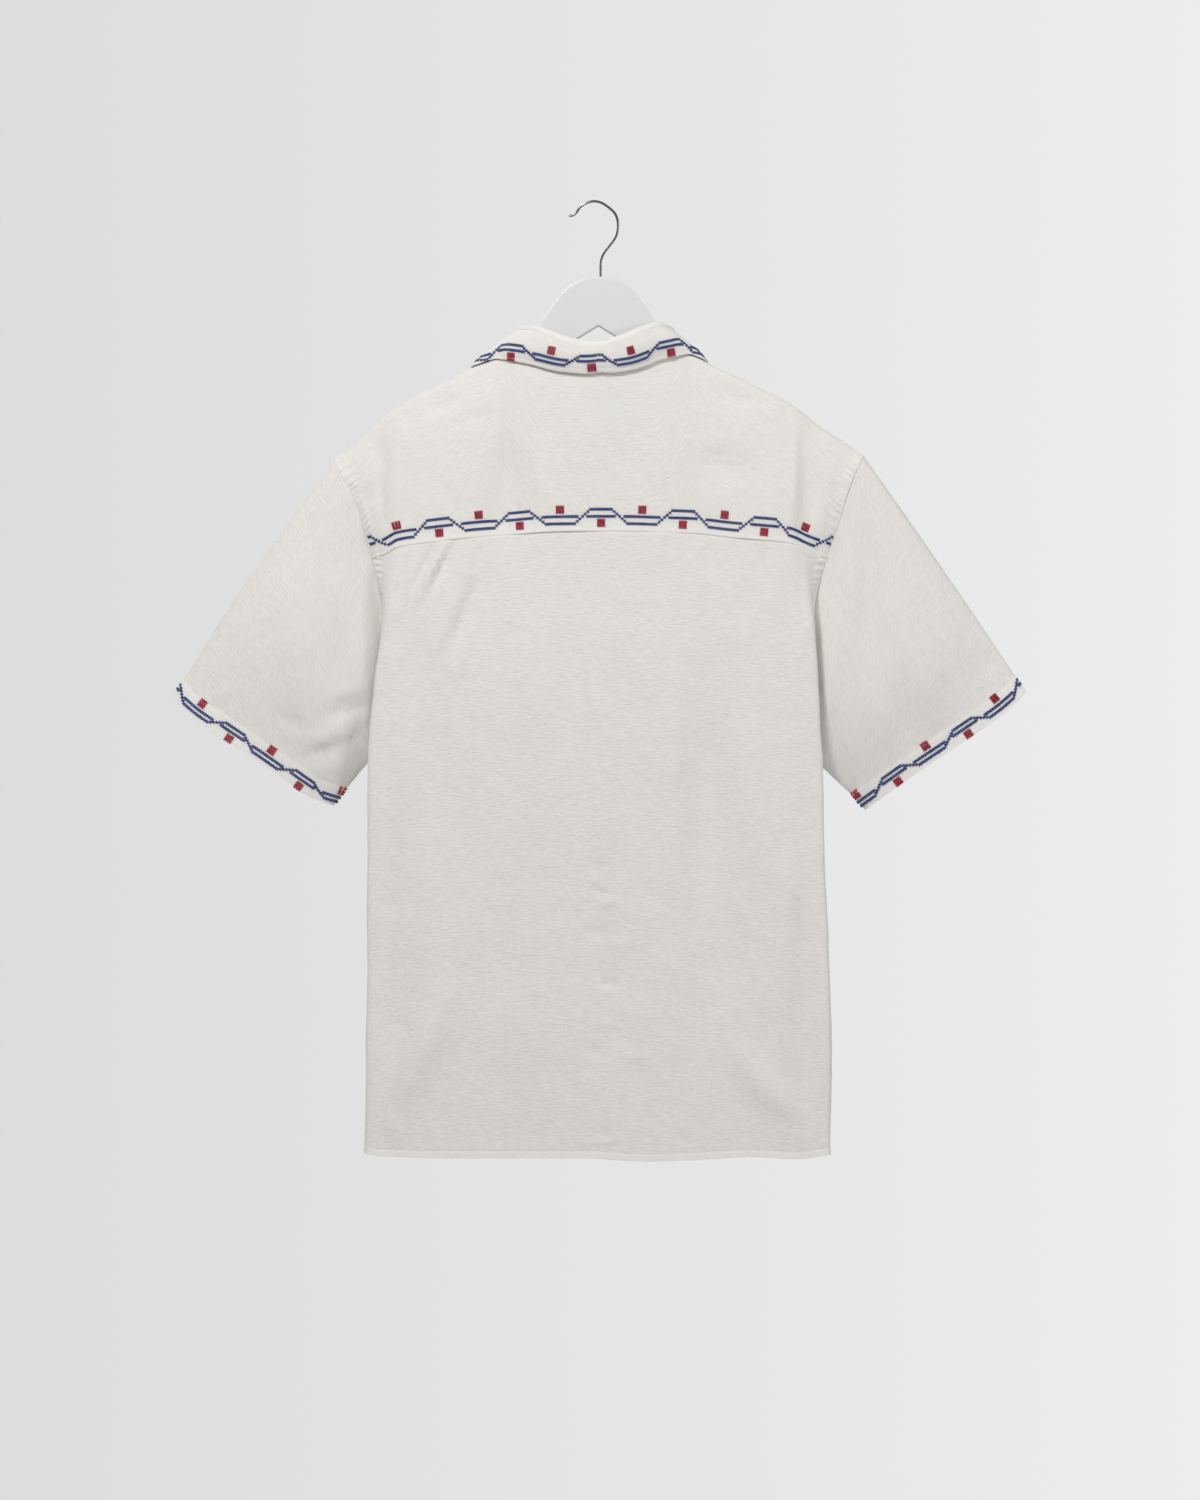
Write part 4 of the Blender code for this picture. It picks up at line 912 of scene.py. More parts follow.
def front_cloth(hand):
    """A front: creases, armhole band, turned-up hem and doubled cloth along its lap."""
    grid = front_grid(hand)
    seat_front(grid, hand)
    cloth = Cloth(grid, hand == LEFT)
    x, z, across, arm = cloth.x, cloth.z, cloth.across, cloth.far
    relief = creased(FRONT_CREASES, x, z) * smoothstep((arm - 4) / 10)
    relief += rumpled(x, z, 51 + hand) * smoothstep(across / 30)
    relief += tucked(cloth.down) * smoothstep((FRONT_COLUMNS[None, :] - 0.99) / 0.05)
    beside = beside_armhole(z)
    relief += pinched(arm, z, ARM_BAND, 55 + hand) * beside - side_valley(arm) * (1 - beside)
    relief += turned_up(cloth.up, HEM_BAND, x, 58 + hand) * smoothstep(across / 24)
    cloth.push_out(relief)
    cloth.tones["layers"] = (PALER["hem"] * within(cloth.up, HEM_BAND)
                             + PALER["lap"] * within(across, LAP_DEPTH, 2))
    return cloth


def sleeve_cloth(hand):
    """A sleeve: head tucked under the body's armhole edge, and a deep turned-up cuff."""
    cloth = Cloth(sleeve_grid(hand), hand == LEFT, ring=True)
    around, down = cloth.across, cloth.down
    from_top = np.minimum(around, around[:, -1:] - around)
    relief = rumpled(from_top + 500, down, 61 + hand) * smoothstep(down / 20)
    relief += tucked(down) + turned_up(cloth.up, CUFF_BAND, from_top, 64 + hand, 0.5)
    cloth.push_out(relief)
    cloth.grid[:, -1] = cloth.grid[:, 0]
    cloth.tones["layers"] = PALER["cuff"] * within(cloth.up, CUFF_BAND)
    return cloth


def collar_cloth():
    """The collar, doubled all over, with its turned and stitched outer edge."""
    cloth = Cloth(collar_grid(), True, wall=COLLAR_WALL, lift=COLLAR_WALL)
    up = cloth.up
    relief = 0.3 * ridge(up, COLLAR_BAND - 1.6, 1.3) - 0.35 * ridge(up, COLLAR_BAND + 0.4, 0.9)
    relief += 0.25 * uneven(cloth.across, up, 24, 18, 71) * smoothstep(up / 6)
    cloth.push_out(relief)
    cloth.tones["layers"] = np.full(up.shape, PALER["collar"])
    return cloth


def label_cloth():
    """The label, laid just inside the yoke."""
    x = np.linspace(-0.5, 0.5, 41)[None, :] * LABEL_SIZE[0] + LABEL_MIDDLE[0]
    z = np.linspace(0.5, -0.5, 19)[:, None] * LABEL_SIZE[1] + LABEL_MIDDLE[1]
    grid = skin(x, turn_of(crest_height(x) - z))
    grid[..., 1] += LABEL_GAP
    return Cloth(grid, True, wall=LABEL_THICK)


def material(name, colour, roughness, metallic=0.0):
    made = bpy.data.materials.new(name)
    made.use_nodes = True
    shader = made.node_tree.nodes["Principled BSDF"]
    shader.inputs["Base Color"].default_value = (*colour, 1.0)
    shader.inputs["Roughness"].default_value = roughness
    shader.inputs["Metallic"].default_value = metallic
    return made, made.node_tree, shader


def node(tree, kind, **values):
    """A node with its inputs by name; keys that start with a small letter are its own settings."""
    made = tree.nodes.new(kind)
    for key, value in values.items():
        if key[0].islower():
            setattr(made, key, value)
        else:
            made.inputs[key.replace("_", " ")].default_value = value
    return made


def own_coordinates(tree):
    """The piece's own coordinates in metres."""
    return node(tree, "ShaderNodeTexCoord").outputs["Object"]


def weave_coordinates(tree, scale):
    """The cloth's own coordinates in metres, along its weft and its warp, times a scale."""
    place = node(tree, "ShaderNodeTexCoord")
    mapping = node(tree, "ShaderNodeMapping", Scale=scale)
    tree.links.new(place.outputs["UV"], mapping.inputs["Vector"])
    return mapping.outputs["Vector"]


def noise(tree, place, scale=1.0, **values):
    made = node(tree, "ShaderNodeTexNoise", Scale=scale, **values)
    tree.links.new(place, made.inputs["Vector"])
    return made.outputs["Fac"]


def bands(tree, place, direction, distortion=0.0):
    made = node(tree, "ShaderNodeTexWave", wave_type="BANDS", bands_direction=direction,
                Scale=1.0, Distortion=distortion)
    tree.links.new(place, made.inputs["Vector"])
    return made.outputs["Fac"]


def ranged(tree, value, **ends):
    """A value carried from one range to another."""
    made = node(tree, "ShaderNodeMapRange", **ends)
    tree.links.new(value, made.inputs["Value"])
    return made.outputs["Result"]


def product(tree, value, factor):
    """A value times a number or another node's value."""
    made = node(tree, "ShaderNodeMath", operation="MULTIPLY")
    tree.links.new(value, made.inputs[0])
    if isinstance(factor, float):
        made.inputs[1].default_value = factor
    else:
        tree.links.new(factor, made.inputs[1])
    return made.outputs["Value"]


def blend(tree, factor, a, b):
    """Two colours mixed by a factor, each given in numbers or as another node's output."""
    made = node(tree, "ShaderNodeMix", data_type="RGBA")
    for key, colour in (("A", a), ("B", b)):
        if isinstance(colour, tuple):
            made.inputs[key].default_value = (*colour, 1)
        else:
            tree.links.new(colour, made.inputs[key])
    tree.links.new(factor, made.inputs["Factor"])
    return made.outputs["Result"]


def bump(tree, height, distance, strength, under=None):
    made = node(tree, "ShaderNodeBump", Strength=strength, Distance=distance)
    tree.links.new(height, made.inputs["Height"])
    if under is not None:
        tree.links.new(under, made.inputs["Normal"])
    return made.outputs["Normal"]


def slub_cotton():
    """Off-white plain weave with uneven weft threads. Doubled cloth shows a little paler, and
    the cloth over the label a little darker."""
    made, tree, shader = material("slub_cotton", CLOTH_PALE, 0.93)
    shader.inputs["Specular IOR Level"].default_value = 0.18
    shader.inputs["Sheen Weight"].default_value = 0.12
    shader.inputs["Sheen Roughness"].default_value = 0.5
    slubs = noise(tree, weave_coordinates(tree, (120, 640, 1)), Detail=2.0, Roughness=0.6)
    warp = noise(tree, weave_coordinates(tree, (900, 26, 1)), Detail=1.0, Roughness=0.5)
    clouds = noise(tree, weave_coordinates(tree, (30, 38, 1)), Detail=3.0, Roughness=0.55)
    weave = product(tree, bands(tree, weave_coordinates(tree, (60, 560, 1)), "Y", 0.6),
                    bands(tree, weave_coordinates(tree, (600, 60, 1)), "X", 0.6))
    shade = ranged(tree, slubs, From_Min=0.34, From_Max=0.66, To_Min=1.0, To_Max=0.0)
    colour = blend(tree, product(tree, shade, 0.68), CLOTH_PALE, CLOTH_DEEP)
    for key, laid in (("layers", CLOTH_DOUBLED), ("through", CLOTH_OVER_LABEL)):
        share = node(tree, "ShaderNodeAttribute", attribute_name=key)
        colour = blend(tree, share.outputs["Fac"], colour, laid)
    tree.links.new(colour, shader.inputs["Base Color"])
    normal = bump(tree, clouds, 0.0018, 0.7)
    normal = bump(tree, slubs, 0.0006, 0.8, normal)
    normal = bump(tree, warp, 0.0003, 0.4, normal)
    normal = bump(tree, weave, 0.00018, 0.35, normal)
    tree.links.new(normal, shader.inputs["Normal"])
    return made


def stranded_cotton(name, colour, deep):
    """Sewing or embroidery thread, with a little change of tone along it."""
    made, tree, shader = material(name, colour, 0.62)
    shader.inputs["Specular IOR Level"].default_value = 0.2
    place = own_coordinates(tree)
    tone = ranged(tree, noise(tree, place, 420.0, Detail=2.0), From_Min=0.38, From_Max=0.62)
    tree.links.new(blend(tree, tone, deep, colour), shader.inputs["Base Color"])
    strands = noise(tree, place, 2600.0, Detail=1.0)
    tree.links.new(bump(tree, strands, 0.0002, 0.5), shader.inputs["Normal"])
    return made


def moulded_white():
    """The hanger's slightly cool white, with faint ripples in its gloss."""
    made, tree, shader = material("hanger_gloss", (0.70, 0.71, 0.70), 0.34)
    ripples = noise(tree, own_coordinates(tree), 160.0, Detail=3.0)
    tree.links.new(ranged(tree, ripples, To_Min=0.27, To_Max=0.42), shader.inputs["Roughness"])
    tree.links.new(bump(tree, ripples, 0.0002, 0.12), shader.inputs["Normal"])
    return made


def dark_chrome():
    """The hook's wire: polished dark steel with faint smears."""
    made, tree, shader = material("hook_chrome", (0.20, 0.20, 0.21), 0.2, 1.0)
    smears = noise(tree, own_coordinates(tree), 300.0, Detail=2.0)
    tree.links.new(ranged(tree, smears, To_Min=0.12, To_Max=0.3), shader.inputs["Roughness"])
    return made


def mother_of_pearl():
    """Cream buttons with soft cloudy bands."""
    made, tree, shader = material("button_shell", (0.80, 0.77, 0.70), 0.26)
    clouds = noise(tree, own_coordinates(tree), 260.0, Detail=3.0, Distortion=1.2)
    tone = blend(tree, clouds, (0.70, 0.66, 0.58), (0.86, 0.84, 0.79))
    tree.links.new(tone, shader.inputs["Base Color"])
    return made


def woven_satin():
    """The blank label: close white weave with fine cross threads."""
    made, tree, shader = material("label_weave", (0.84, 0.84, 0.83), 0.6)
    threads = bands(tree, weave_coordinates(tree, (1, 900, 1)), "Y")
    tree.links.new(bump(tree, threads, 0.0001, 0.4), shader.inputs["Normal"])
    return made


def select_only(thing):
    bpy.ops.object.select_all(action="DESELECT")
    thing.select_set(True)
    bpy.context.view_layer.objects.active = thing


def pick_faces(piece, chosen):
    """Leaves the piece in edit mode with only its chosen faces selected."""
    bpy.ops.object.mode_set(mode="EDIT")
    bpy.ops.mesh.select_mode(type="FACE")
    bpy.ops.mesh.select_all(action="DESELECT")
    bpy.ops.object.mode_set(mode="OBJECT")
    for face in piece.data.polygons:
        face.select = chosen(face)
    bpy.ops.object.mode_set(mode="EDIT")


def stand_for(piece, solid):
    """Puts a finished piece in a solid's place."""
    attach(piece, "root")
    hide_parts(solid)


def cloth_panel(name, cloth, finish):
    """A sheet with its flat cloth as its UV map, given its wall on the inner side."""
    grid = cloth.grid
    rows, columns = grid.shape[:2]
    across, down = run_along(grid, 1), run_along(grid, 0)
    middle = across[:, columns // 2:columns // 2 + 1]
    bpy.ops.object.select_all(action="DESELECT")
    bpy.ops.mesh.primitive_grid_add(x_subdivisions=columns - 1, y_subdivisions=rows - 1, size=1)
    panel = bpy.context.object
    panel.name = panel.data.name = name
    mesh = panel.data
    mesh.vertices.foreach_set("co", (grid * MM).astype(np.float32).ravel())
    flat = np.stack((across - middle, -down), axis=-1).reshape(-1, 2) * MM
    corner = np.empty(len(mesh.loops), np.int32)
    mesh.loops.foreach_get("vertex_index", corner)
    mesh.uv_layers.active.data.foreach_set("uv", flat[corner].astype(np.float32).ravel())
    for key, values in cloth.tones.items():
        tone = mesh.attributes.new(key, "FLOAT", "POINT")
        tone.data.foreach_set("value", np.clip(values, 0, 1).astype(np.float32).ravel())
    mesh.materials.append(finish)
    bpy.ops.object.mode_set(mode="EDIT")
    bpy.ops.mesh.select_all(action="SELECT")
    if cloth.flip:
        bpy.ops.mesh.flip_normals()
    if cloth.ring:
        bpy.ops.mesh.remove_doubles(threshold=1e-6)
    bpy.ops.object.mode_set(mode="OBJECT")
    shell = panel.modifiers.new("Wall", "SOLIDIFY")
    shell.thickness, shell.offset = cloth.wall * MM, -1
    bpy.ops.object.modifier_apply(modifier=shell.name)
    bpy.ops.object.shade_smooth_by_angle(angle=math.radians(50))
    return panel


RING_OVERLAP = 6


class Laid:
    """A cloth's surface as seen from its last row, with runs measured along a line that far up."""

    def __init__(self, cloth, base=0.0):
        grid, out, lap = cloth.grid, cloth.out, RING_OVERLAP
        if cloth.ring:
            grid, out = (np.concatenate((g[:, -1 - lap:-1], g, g[:, 1:1 + lap]), axis=1)
                         for g in (grid, out))
        self.grid, self.out, self.base = grid[::-1], out[::-1], base
        self.up = run_along(self.grid, 0)
        rows = np.arange(len(self.up))
        self.row = np.array([np.interp(base, run, rows) for run in self.up.T])
        self.line = np.array([self.sample(self.grid, n, row) for n, row in enumerate(self.row)])
        self.along = run_along(self.line[None], 1)[0]
        self.length = self.along[-1 - lap] - self.along[lap] if cloth.ring else self.along[-1]
        self.along = self.along - (self.along[lap] if cloth.ring else 0)

    def sample(self, field, column, row):
        rows, columns = field.shape[:2]
        c = min(max(int(column), 0), columns - 2)
        r = min(max(int(row), 0), rows - 2)
        f, g = column - c, row - r
        return ((field[r, c] * (1 - f) + field[r, c + 1] * f) * (1 - g)
                + (field[r + 1, c] * (1 - f) + field[r + 1, c + 1] * f) * g)

    def run_at(self, x):
        """The run along the line to where it crosses that x, near the cloth's middle."""
        middle = slice(len(self.line) * 3 // 8, len(self.line) * 5 // 8)
        return np.interp(x, self.line[middle, 0], self.along[middle])

    def at(self, along, up):
        """Point, direction along the line, direction up from it and outward direction."""
        column = float(np.interp(along, self.along, np.arange(len(self.along))))
        columns = np.arange(len(self.row))
        row = float(np.interp(column, columns, self.row))
        foot = self.sample(self.grid, column, row)
        ends = [min(max(column + n, 0), len(self.row) - 1) for n in (-1.5, 1.5)]
        low, high = (self.sample(self.grid, n, np.interp(n, columns, self.row)) for n in ends)
        ahead = unit(high - low)
        for _ in range(4):
            point = self.sample(self.grid, column, row)
            by_column = self.sample(self.grid, column + 0.5, row) - self.sample(
                self.grid, column - 0.5, row)
            by_row = self.sample(self.grid, column, row + 0.5) - self.sample(
                self.grid, column, row - 0.5)
            rise = unit(by_row - ahead * (by_row @ ahead))
            short = up - self.base - (point - foot) @ rise
            aside = -(point - foot) @ ahead
            table = np.array(((by_column @ ahead, by_row @ ahead),
                              (by_column @ rise, by_row @ rise)))
            step = np.linalg.solve(table, (aside, short))
            column, row = column + step[0], row + step[1]
        point = self.sample(self.grid, column, row)
        out = unit(self.sample(self.out, column, row))
        here = unit(ahead - out * (ahead @ out))
        rise = unit(np.cross(out, here))
        if rise @ by_row < 0:
            rise = -rise
        return point, here, rise, out


def strand_form():
    """One short thread, a rounded rod from x -1 to 1, as its points and faces."""
    bpy.ops.object.select_all(action="DESELECT")
    bpy.ops.mesh.primitive_uv_sphere_add(segments=6, ring_count=5, radius=1)
    rod = bpy.context.object
    points = np.array([vertex.co for vertex in rod.data.vertices])
    faces = [tuple(face.vertices) for face in rod.data.polygons]
    bpy.data.objects.remove(rod)
    blunt = np.sign(points[:, 2]) * np.abs(points[:, 2]) ** 0.62
    radial = np.hypot(points[:, 0], points[:, 1])
    fuller = np.maximum(radial, 1e-9) ** -0.6
    return np.stack((blunt, points[:, 0] * fuller, points[:, 1] * fuller), axis=1), faces


ROD_POINTS, ROD_FACES = strand_form()


def threads_piece(name, strands, finish):
    """Many threads as one mesh. Each is (middle, half run, side, outward, radius, arch height)."""
    count, size = len(strands), len(ROD_POINTS)
    points = np.zeros((count, size, 3))
    for n, (middle, half, side, out, radius, arch) in enumerate(strands):
        x, y, z = ROD_POINTS.T
        points[n] = (middle + np.outer(x, half) + np.outer(y * radius, side)
                     + np.outer(z * radius * THREAD_FLAT + arch * (1 - x * x), out))
    faces = [tuple(v + n * size for v in face) for n in range(count) for face in ROD_FACES]
    mesh = bpy.data.meshes.new(name)
    mesh.from_pydata((points.reshape(-1, 3) * MM).tolist(), [], faces)
    mesh.materials.append(finish)
    piece = bpy.data.objects.new(name, mesh)
    bpy.context.scene.collection.objects.link(piece)
    select_only(piece)
    bpy.ops.object.shade_smooth()
    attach(piece, "root")
    return piece


def cross_strands(surface, along, up, size, chance, share=1.0):
    """The two threads of one cross stitch, the second over the first."""
    point, ahead, rise, out = surface.at(along, up)
    half = size / 2 * CROSS_REACH
    strands = []
    for layer, lean in enumerate((1, -1)):
        tilt = chance.uniform(-0.09, 0.09)
        run = (ahead * (1 + tilt) + rise * lean * (1 - tilt)) * half
        side = unit(np.cross(out, run))
        reach = chance.uniform(0.95, 1.04)
        lift = 0.18 + 0.34 * layer
        strands.append((point + out * lift, run * reach, side, out,
                        CROSS_RADIUS * share * chance.uniform(0.92, 1.08),
                        CROSS_ARCH * (0.6 + layer)))
    return strands


def border(cloth, cross, base, middle, step, spare, seed):
    """The border along a cloth's last row: a straight line of crosses, a stepped line that weaves
    over and under it, and small squares in its bays. Returns the threads of the lines and those
    of the squares. The runs left free at its two ends are given as spare."""
    surface = Laid(cloth, base)
    if not cloth.ring:
        middle = surface.run_at(middle)
    start, end = spare[0], surface.length - spare[1]
    chance = np.random.default_rng(seed)
    lines, squares = [], []
    first, last = math.ceil((start - middle) / cross), math.floor((end - middle) / cross)
    for n in range(first, last + 1):
        place = (n + REPEAT // 2) % REPEAT - REPEAT // 2
        level = step * np.clip((HALF_CROSSING - abs(place)) / (HALF_CROSSING - HALF_TOP), -1, 1)
        along = middle + n * cross
        lines += cross_strands(surface, along, base + level * cross, cross, chance)
        if abs(abs(place) - HALF_CROSSING) > 1:
            lines += cross_strands(surface, along, base, cross, chance)
    repeat, apart = REPEAT * cross, SQUARE_CROSS * cross
    for half in range(math.ceil(2 * (start - middle) / repeat) - 1,
                      math.floor(2 * (end - middle) / repeat) + 2):
        level = SQUARE_UNDER if half % 2 == 0 else SQUARE_OVER
        centre = middle + half * repeat / 2
        if start > centre - apart or centre + apart > end:
            continue
        for row in (-1, 0, 1):
            for column in (-1, 0, 1):
                squares += cross_strands(surface, centre + column * apart,
                                         base + level * cross + row * apart, apart, chance,
                                         SQUARE_THREAD)
    return lines, squares


def sewn_line(cloth, up, start, seed):
    """A row of machine stitches at a height over a cloth's last row."""
    surface, chance = Laid(cloth), np.random.default_rng(seed)
    strands = []
    for n in range(int((surface.length - start) / (STITCH_LENGTH + STITCH_GAP))):
        along = start + (n + 0.5) * (STITCH_LENGTH + STITCH_GAP)
        point, ahead, rise, out = surface.at(along, up + chance.uniform(-0.1, 0.1))
        strands.append((point - out * 0.02, ahead * STITCH_LENGTH / 2, rise, out,
                        STITCH_RADIUS, 0.1))
    return strands


def smooth_line(points, faces_each, closed=False):
    """Points on a smooth line through the given ones."""
    points = np.array(points, float)
    count = len(points)
    line = []
    for n in range(count if closed else count - 1):
        p = [points[(n + k) % count] if closed else points[min(max(n + k, 0), count - 1)]
             for k in (-1, 0, 1, 2)]
        for m in range(faces_each):
            t = m / faces_each
            line.append(0.5 * (2 * p[1] + (p[2] - p[0]) * t
                               + (2 * p[0] - 5 * p[1] + 4 * p[2] - p[3]) * t * t
                               + (3 * p[1] - p[0] - 3 * p[2] + p[3]) * t**3))
    if not closed:
        line.append(points[-1])
    return np.array(line)


def hanger_outline():
    halves = []
    for hand in (RIGHT, LEFT):
        arm = tuple((x, float(crest_height(np.float64(hand * x + HANGER_X))) - ARM_DROP)
                    for x in HANGER_ARM)
        rise = float(crest_height(np.float64(hand * HANGER_ARM[-1]))
                     - crest_height(np.float64(HANGER_ARM[-1])))
        end = tuple((x, z + rise) for x, z in HANGER_END)
        halves.append(HANGER_DOME + arm + end + HANGER_NOTCH)
    left = [(-x, z) for x, z in reversed(halves[1][1:-1])]
    return smooth_line([*halves[0], *left], 3, closed=True)


def make_hanger():
    """The flat hanger: its outline filled and raised, with rounded edges."""
    outline = hanger_outline()
    bpy.ops.object.select_all(action="DESELECT")
    bpy.ops.mesh.primitive_circle_add(vertices=len(outline), fill_type="NGON")
    hanger = bpy.context.object
    hanger.name = hanger.data.name = "hanger"
    for vertex, (x, z) in zip(hanger.data.vertices, outline):
        vertex.co = ((x + HANGER_X) * MM, -HANGER_HALF * MM, z * MM)
    bpy.ops.object.mode_set(mode="EDIT")
    bpy.ops.mesh.select_all(action="SELECT")
    bpy.ops.mesh.extrude_region_move(
        TRANSFORM_OT_translate={"value": (0, 2 * HANGER_HALF * MM, 0)})
    bpy.ops.mesh.select_all(action="SELECT")
    bpy.ops.mesh.normals_make_consistent(inside=False)
    bpy.ops.object.mode_set(mode="OBJECT")
    hanger.data.materials.append(moulded_white())
    edge = hanger.modifiers.new("Edge", "BEVEL")
    edge.width, edge.segments = HANGER_ROUND * MM, 4
    edge.limit_method, edge.angle_limit = "ANGLE", math.radians(40)
    bpy.ops.object.modifier_apply(modifier=edge.name)
    pick_faces(hanger, lambda face: len(face.vertices) > 4)
    bpy.ops.mesh.inset(thickness=0.8 * MM)
    bpy.ops.object.mode_set(mode="OBJECT")
    bpy.ops.object.shade_smooth_by_angle(angle=math.radians(35))
    return hanger


def make_hook():
    """The hook's wire, swept round its line and closed with rounded ends."""
    line = smooth_line(HOOK, 5)
    bpy.ops.object.select_all(action="DESELECT")
    bpy.ops.curve.primitive_nurbs_path_add()
    wire = bpy.context.object
    wire.name = "hook_wire"
    wire.data.splines.clear()
    path = wire.data.splines.new("POLY")
    path.points.add(len(line) - 1)
    for n, (target, (x, z)) in enumerate(zip(path.points, line)):
        target.co = (x * MM, 0, z * MM, 1)
        target.radius = min(1.0, 0.55 + 0.25 * n)
    wire.data.bevel_depth = HOOK_RADIUS * MM
    wire.data.bevel_resolution = 5
    wire.data.use_fill_caps = True
    bpy.ops.object.convert(target="MESH")
    bpy.ops.object.mode_set(mode="EDIT")
    bpy.ops.mesh.select_all(action="SELECT")
    bpy.ops.mesh.remove_doubles(threshold=1e-6)
    bpy.ops.mesh.normals_make_consistent(inside=False)
    bpy.ops.object.mode_set(mode="OBJECT")
    wire.data.materials.clear()
    wire.data.materials.append(dark_chrome())
    bpy.ops.object.shade_smooth_by_angle(angle=math.radians(40))
    return wire


def button_form():
    """One button facing +Y round the origin: a dished face inside a rounded rim, and four holes."""
    bpy.ops.object.select_all(action="DESELECT")
    bpy.ops.mesh.primitive_cylinder_add(vertices=40, radius=BUTTON_RADIUS * MM,
                                        depth=BUTTON_THICK * MM, rotation=(-math.pi / 2, 0, 0))
    button = bpy.context.object
    bpy.ops.object.transform_apply(location=True, rotation=True, scale=True)
    pick_faces(button, lambda face: face.normal.y > 0.9)
    bpy.ops.mesh.inset(thickness=1.5 * MM)
    bpy.ops.mesh.inset(thickness=0.7 * MM, depth=-0.6 * MM)
    bpy.ops.object.mode_set(mode="OBJECT")
    rim = button.modifiers.new("Rim", "BEVEL")
    rim.width, rim.segments, rim.limit_method = 0.45 * MM, 3, "ANGLE"
    bpy.ops.object.modifier_apply(modifier=rim.name)
    for x in (-HOLE_OFF, HOLE_OFF):
        for z in (-HOLE_OFF, HOLE_OFF):
            bpy.ops.mesh.primitive_cylinder_add(
                vertices=14, radius=HOLE_RADIUS * MM, depth=4 * BUTTON_THICK * MM,
                location=(x * MM, 0, z * MM), rotation=(math.pi / 2, 0, 0))
            drill = bpy.context.object
            select_only(button)
            hole = button.modifiers.new("Hole", "BOOLEAN")
            hole.operation, hole.solver, hole.object = "DIFFERENCE", "EXACT", drill
            bpy.ops.object.modifier_apply(modifier=hole.name)
            bpy.data.objects.remove(drill)
    return button


def make_buttons(front):
    """The buttons, each a copy of one, seated down the left front."""
    master = button_form()
    master.data.materials.append(mother_of_pearl())
    x, y, z = (front.grid[..., n] for n in range(3))
    for n in range(BUTTON_COUNT):
        height = BUTTON_FIRST + BUTTON_STEP * n
        near = (abs(x - BUTTON_X) < BUTTON_REACH) & (abs(z - height) < BUTTON_REACH)
        seat = y[near].max() + BUTTON_THICK / 2 + BUTTON_GAP
        button = bpy.data.objects.new(f"button_turned_{n + 1}", master.data.copy())
        bpy.context.scene.collection.objects.link(button)
        button.location = (BUTTON_X * MM, seat * MM, height * MM)
        select_only(button)
        bpy.ops.object.transform_apply(location=True, rotation=True, scale=True)
        bpy.ops.object.shade_smooth_by_angle(angle=math.radians(35))
        stand_for(button, f"button_{n + 1}")
    bpy.data.objects.remove(master)


def build():
    cotton = slub_cotton()
    ecru = stranded_cotton("sewing_cotton", (0.80, 0.78, 0.73), (0.66, 0.63, 0.57))
    blue = stranded_cotton("blue_cotton", (0.050, 0.088, 0.29), (0.022, 0.036, 0.14))
    red = stranded_cotton("red_cotton", (0.46, 0.004, 0.038), (0.27, 0.002, 0.022))

    cloths = {"back": back_cloth(), "yoke": yoke_cloth(),
              "front_left": front_cloth(LEFT), "front_right": front_cloth(RIGHT),
              "sleeve_left": sleeve_cloth(LEFT), "sleeve_right": sleeve_cloth(RIGHT),
              "collar": collar_cloth()}
    panels = {}
    for key, cloth in cloths.items():
        panels[key] = cloth_panel(f"panel_{key}", cloth, cotton)
        stand_for(panels[key], key)

    stitched = {key: [] for key in cloths}
    borders = [("yoke", "yoke_border", YOKE_BORDER, (1.4, 1.4), 81),
               ("collar", "collar_border", COLLAR_BORDER, (9, 9), 82)]
    edges = [("back", "hem_stitching_back", HEM_BAND, 3, 91)]
    for name, hand in HANDS.items():
        borders.append((f"sleeve_{name}", f"cuff_border_{name}", CUFF_BORDER[hand], (0, 2.5),
                        84 + hand))
        edges += [(f"sleeve_{name}", f"cuff_stitching_{name}", CUFF_BAND, 1, 92),
                  (f"front_{name}", f"hem_stitching_{name}", HEM_BAND, 3, 93)]
    edges.append(("collar", "collar_stitching", COLLAR_BAND, 3, 94))
    for key, name, measures, spare, seed in borders:
        lines, squares = border(cloths[key], *measures, spare, seed)
        stitched[key] += [threads_piece(f"{name}_lines", lines, blue),
                          threads_piece(f"{name}_squares", squares, red)]
    for key, name, band, start, seed in edges:
        strands = sewn_line(cloths[key], band, start, seed)
        stitched[key].append(threads_piece(name, strands, ecru))

    hanger = make_hanger()
    stand_for(hanger, "hanger_body")
    stand_for(make_hook(), "hanger_hook")
    make_buttons(cloths["front_left"])
    label = cloth_panel("label_blank", label_cloth(), woven_satin())
    stand_for(label, "neck_label")


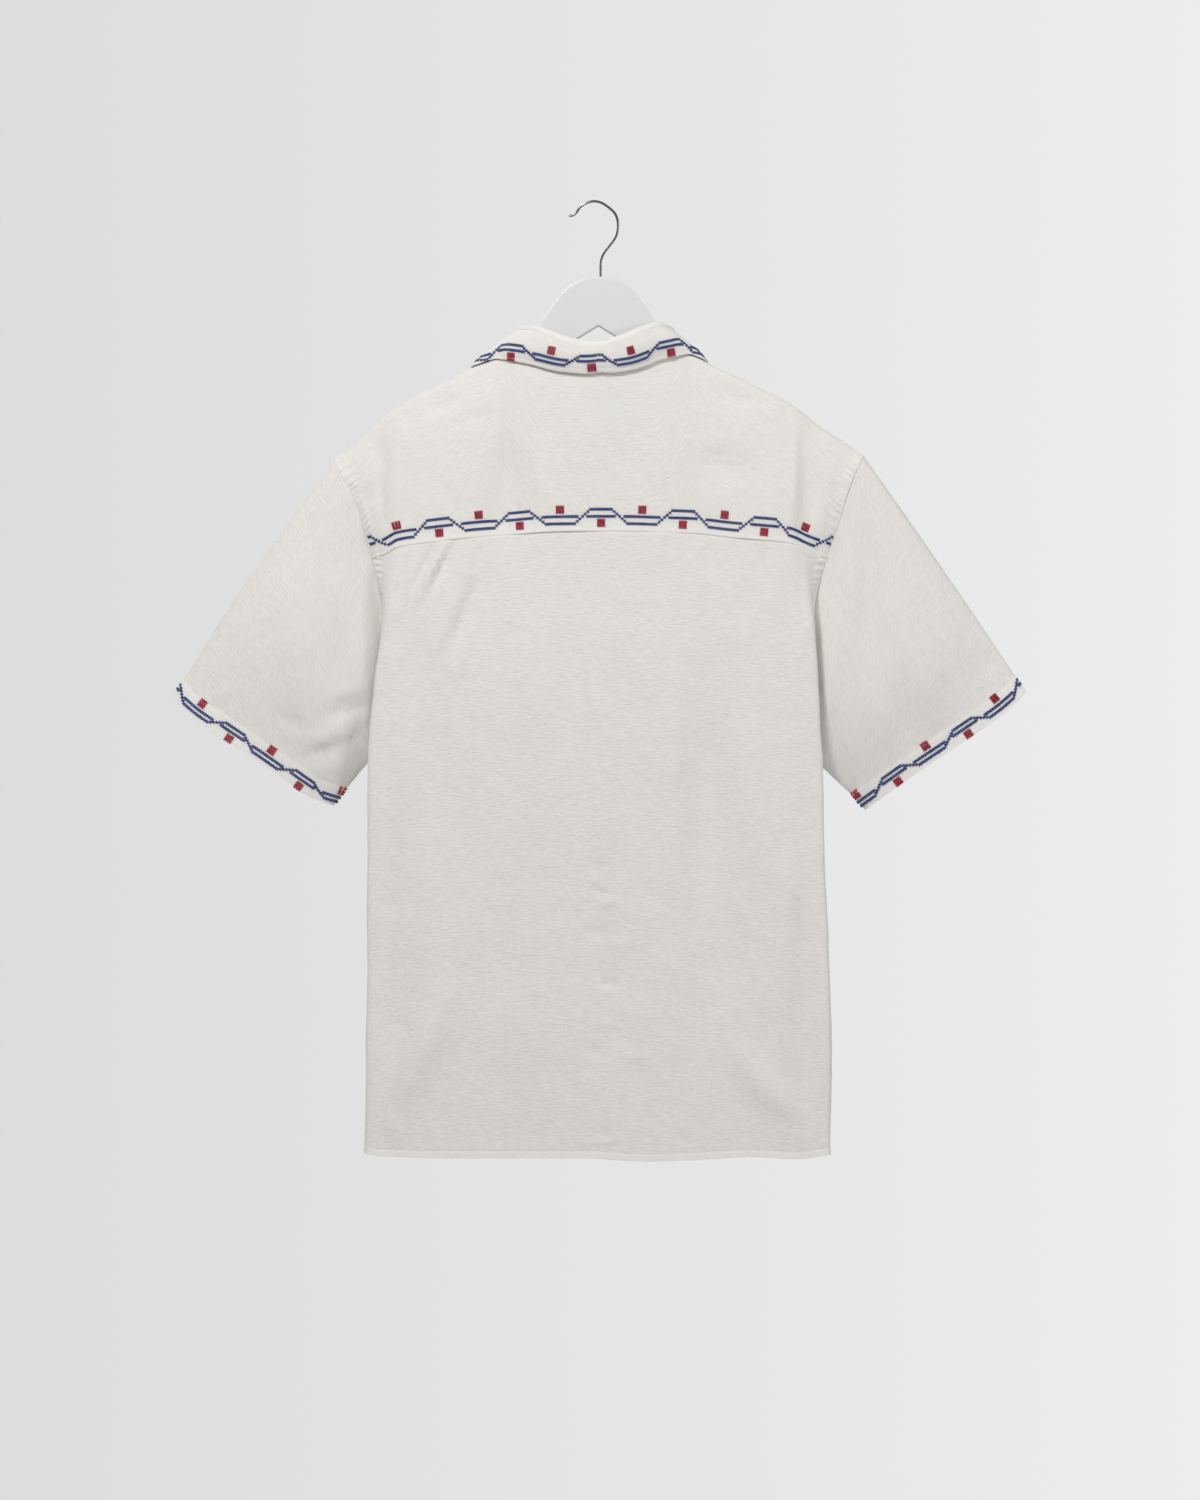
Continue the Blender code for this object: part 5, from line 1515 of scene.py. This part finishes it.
def soft_light(name, place, aim, size, power, colour=(1, 1, 1)):
    bpy.ops.object.light_add(type="AREA", location=place)
    lamp = bpy.context.object
    lamp.name = name
    lamp.data.shape, lamp.data.size = "DISK", size
    lamp.data.energy, lamp.data.color = power, colour
    x, y, z = np.array(aim, float) - np.array(place, float)
    lamp.rotation_euler = (math.atan2(math.hypot(x, y), -z), 0, math.atan2(x, -y) + math.pi)


def surroundings():
    """Dim even light all round; the camera sees a backdrop of painted light, paler to the right."""
    world = bpy.data.worlds.new("studio")
    world.use_nodes = True
    tree = world.node_tree
    shade = tree.nodes["Background"]
    shade.inputs["Strength"].default_value = 1.0
    seen = node(tree, "ShaderNodeLightPath").outputs["Is Camera Ray"]
    parts = node(tree, "ShaderNodeSeparateXYZ")
    tree.links.new(node(tree, "ShaderNodeTexCoord").outputs["Generated"], parts.inputs["Vector"])
    # painted light: the backdrop seen by the camera grows paler from left to right
    sweep = ranged(tree, parts.outputs["X"], From_Min=-PAINTED_LIGHT_REACH, From_Max=PAINTED_LIGHT_REACH,
                   To_Min=PAINTED_LIGHT_TONES[0], To_Max=PAINTED_LIGHT_TONES[1])
    tree.links.new(blend(tree, seen, ROOM_LIGHT, sweep), shade.inputs["Color"])
    bpy.context.scene.world = world


def studio():
    """Pale floor and surroundings, soft lights and the photo's camera."""
    bpy.context.scene.view_settings.view_transform = "Standard"
    surroundings()
    bpy.ops.object.select_all(action="DESELECT")
    bpy.ops.mesh.primitive_circle_add(vertices=64, radius=FLOOR_RADIUS, fill_type="NGON",
                                      location=(0, 0, FLOOR_HEIGHT))
    floor = bpy.context.object
    floor.name = "floor"
    floor.data.materials.append(material("pale_floor", (0.8, 0.8, 0.79), 0.8)[0])

    soft_light("key", (-0.8, -1.75, 1.4), (0, 0, -0.42), 0.6, 39, WARM_LIGHT)
    soft_light("side", (2.0, -1.6, 0.1), (0, 0, -0.45), 0.9, 14, WARM_LIGHT)
    soft_light("front", (-1.6, 2.6, 1.2), (0, 0, -0.45), 2.0, 45)

    bpy.ops.object.camera_add(location=(0, -CAMERA_AWAY, CAMERA_HEIGHT),
                              rotation=(math.pi / 2, 0, 0))
    camera = bpy.context.object
    camera.data.lens = 36 * CAMERA_AWAY / PHOTO_HEIGHT
    bpy.context.scene.camera = camera


build()
studio()
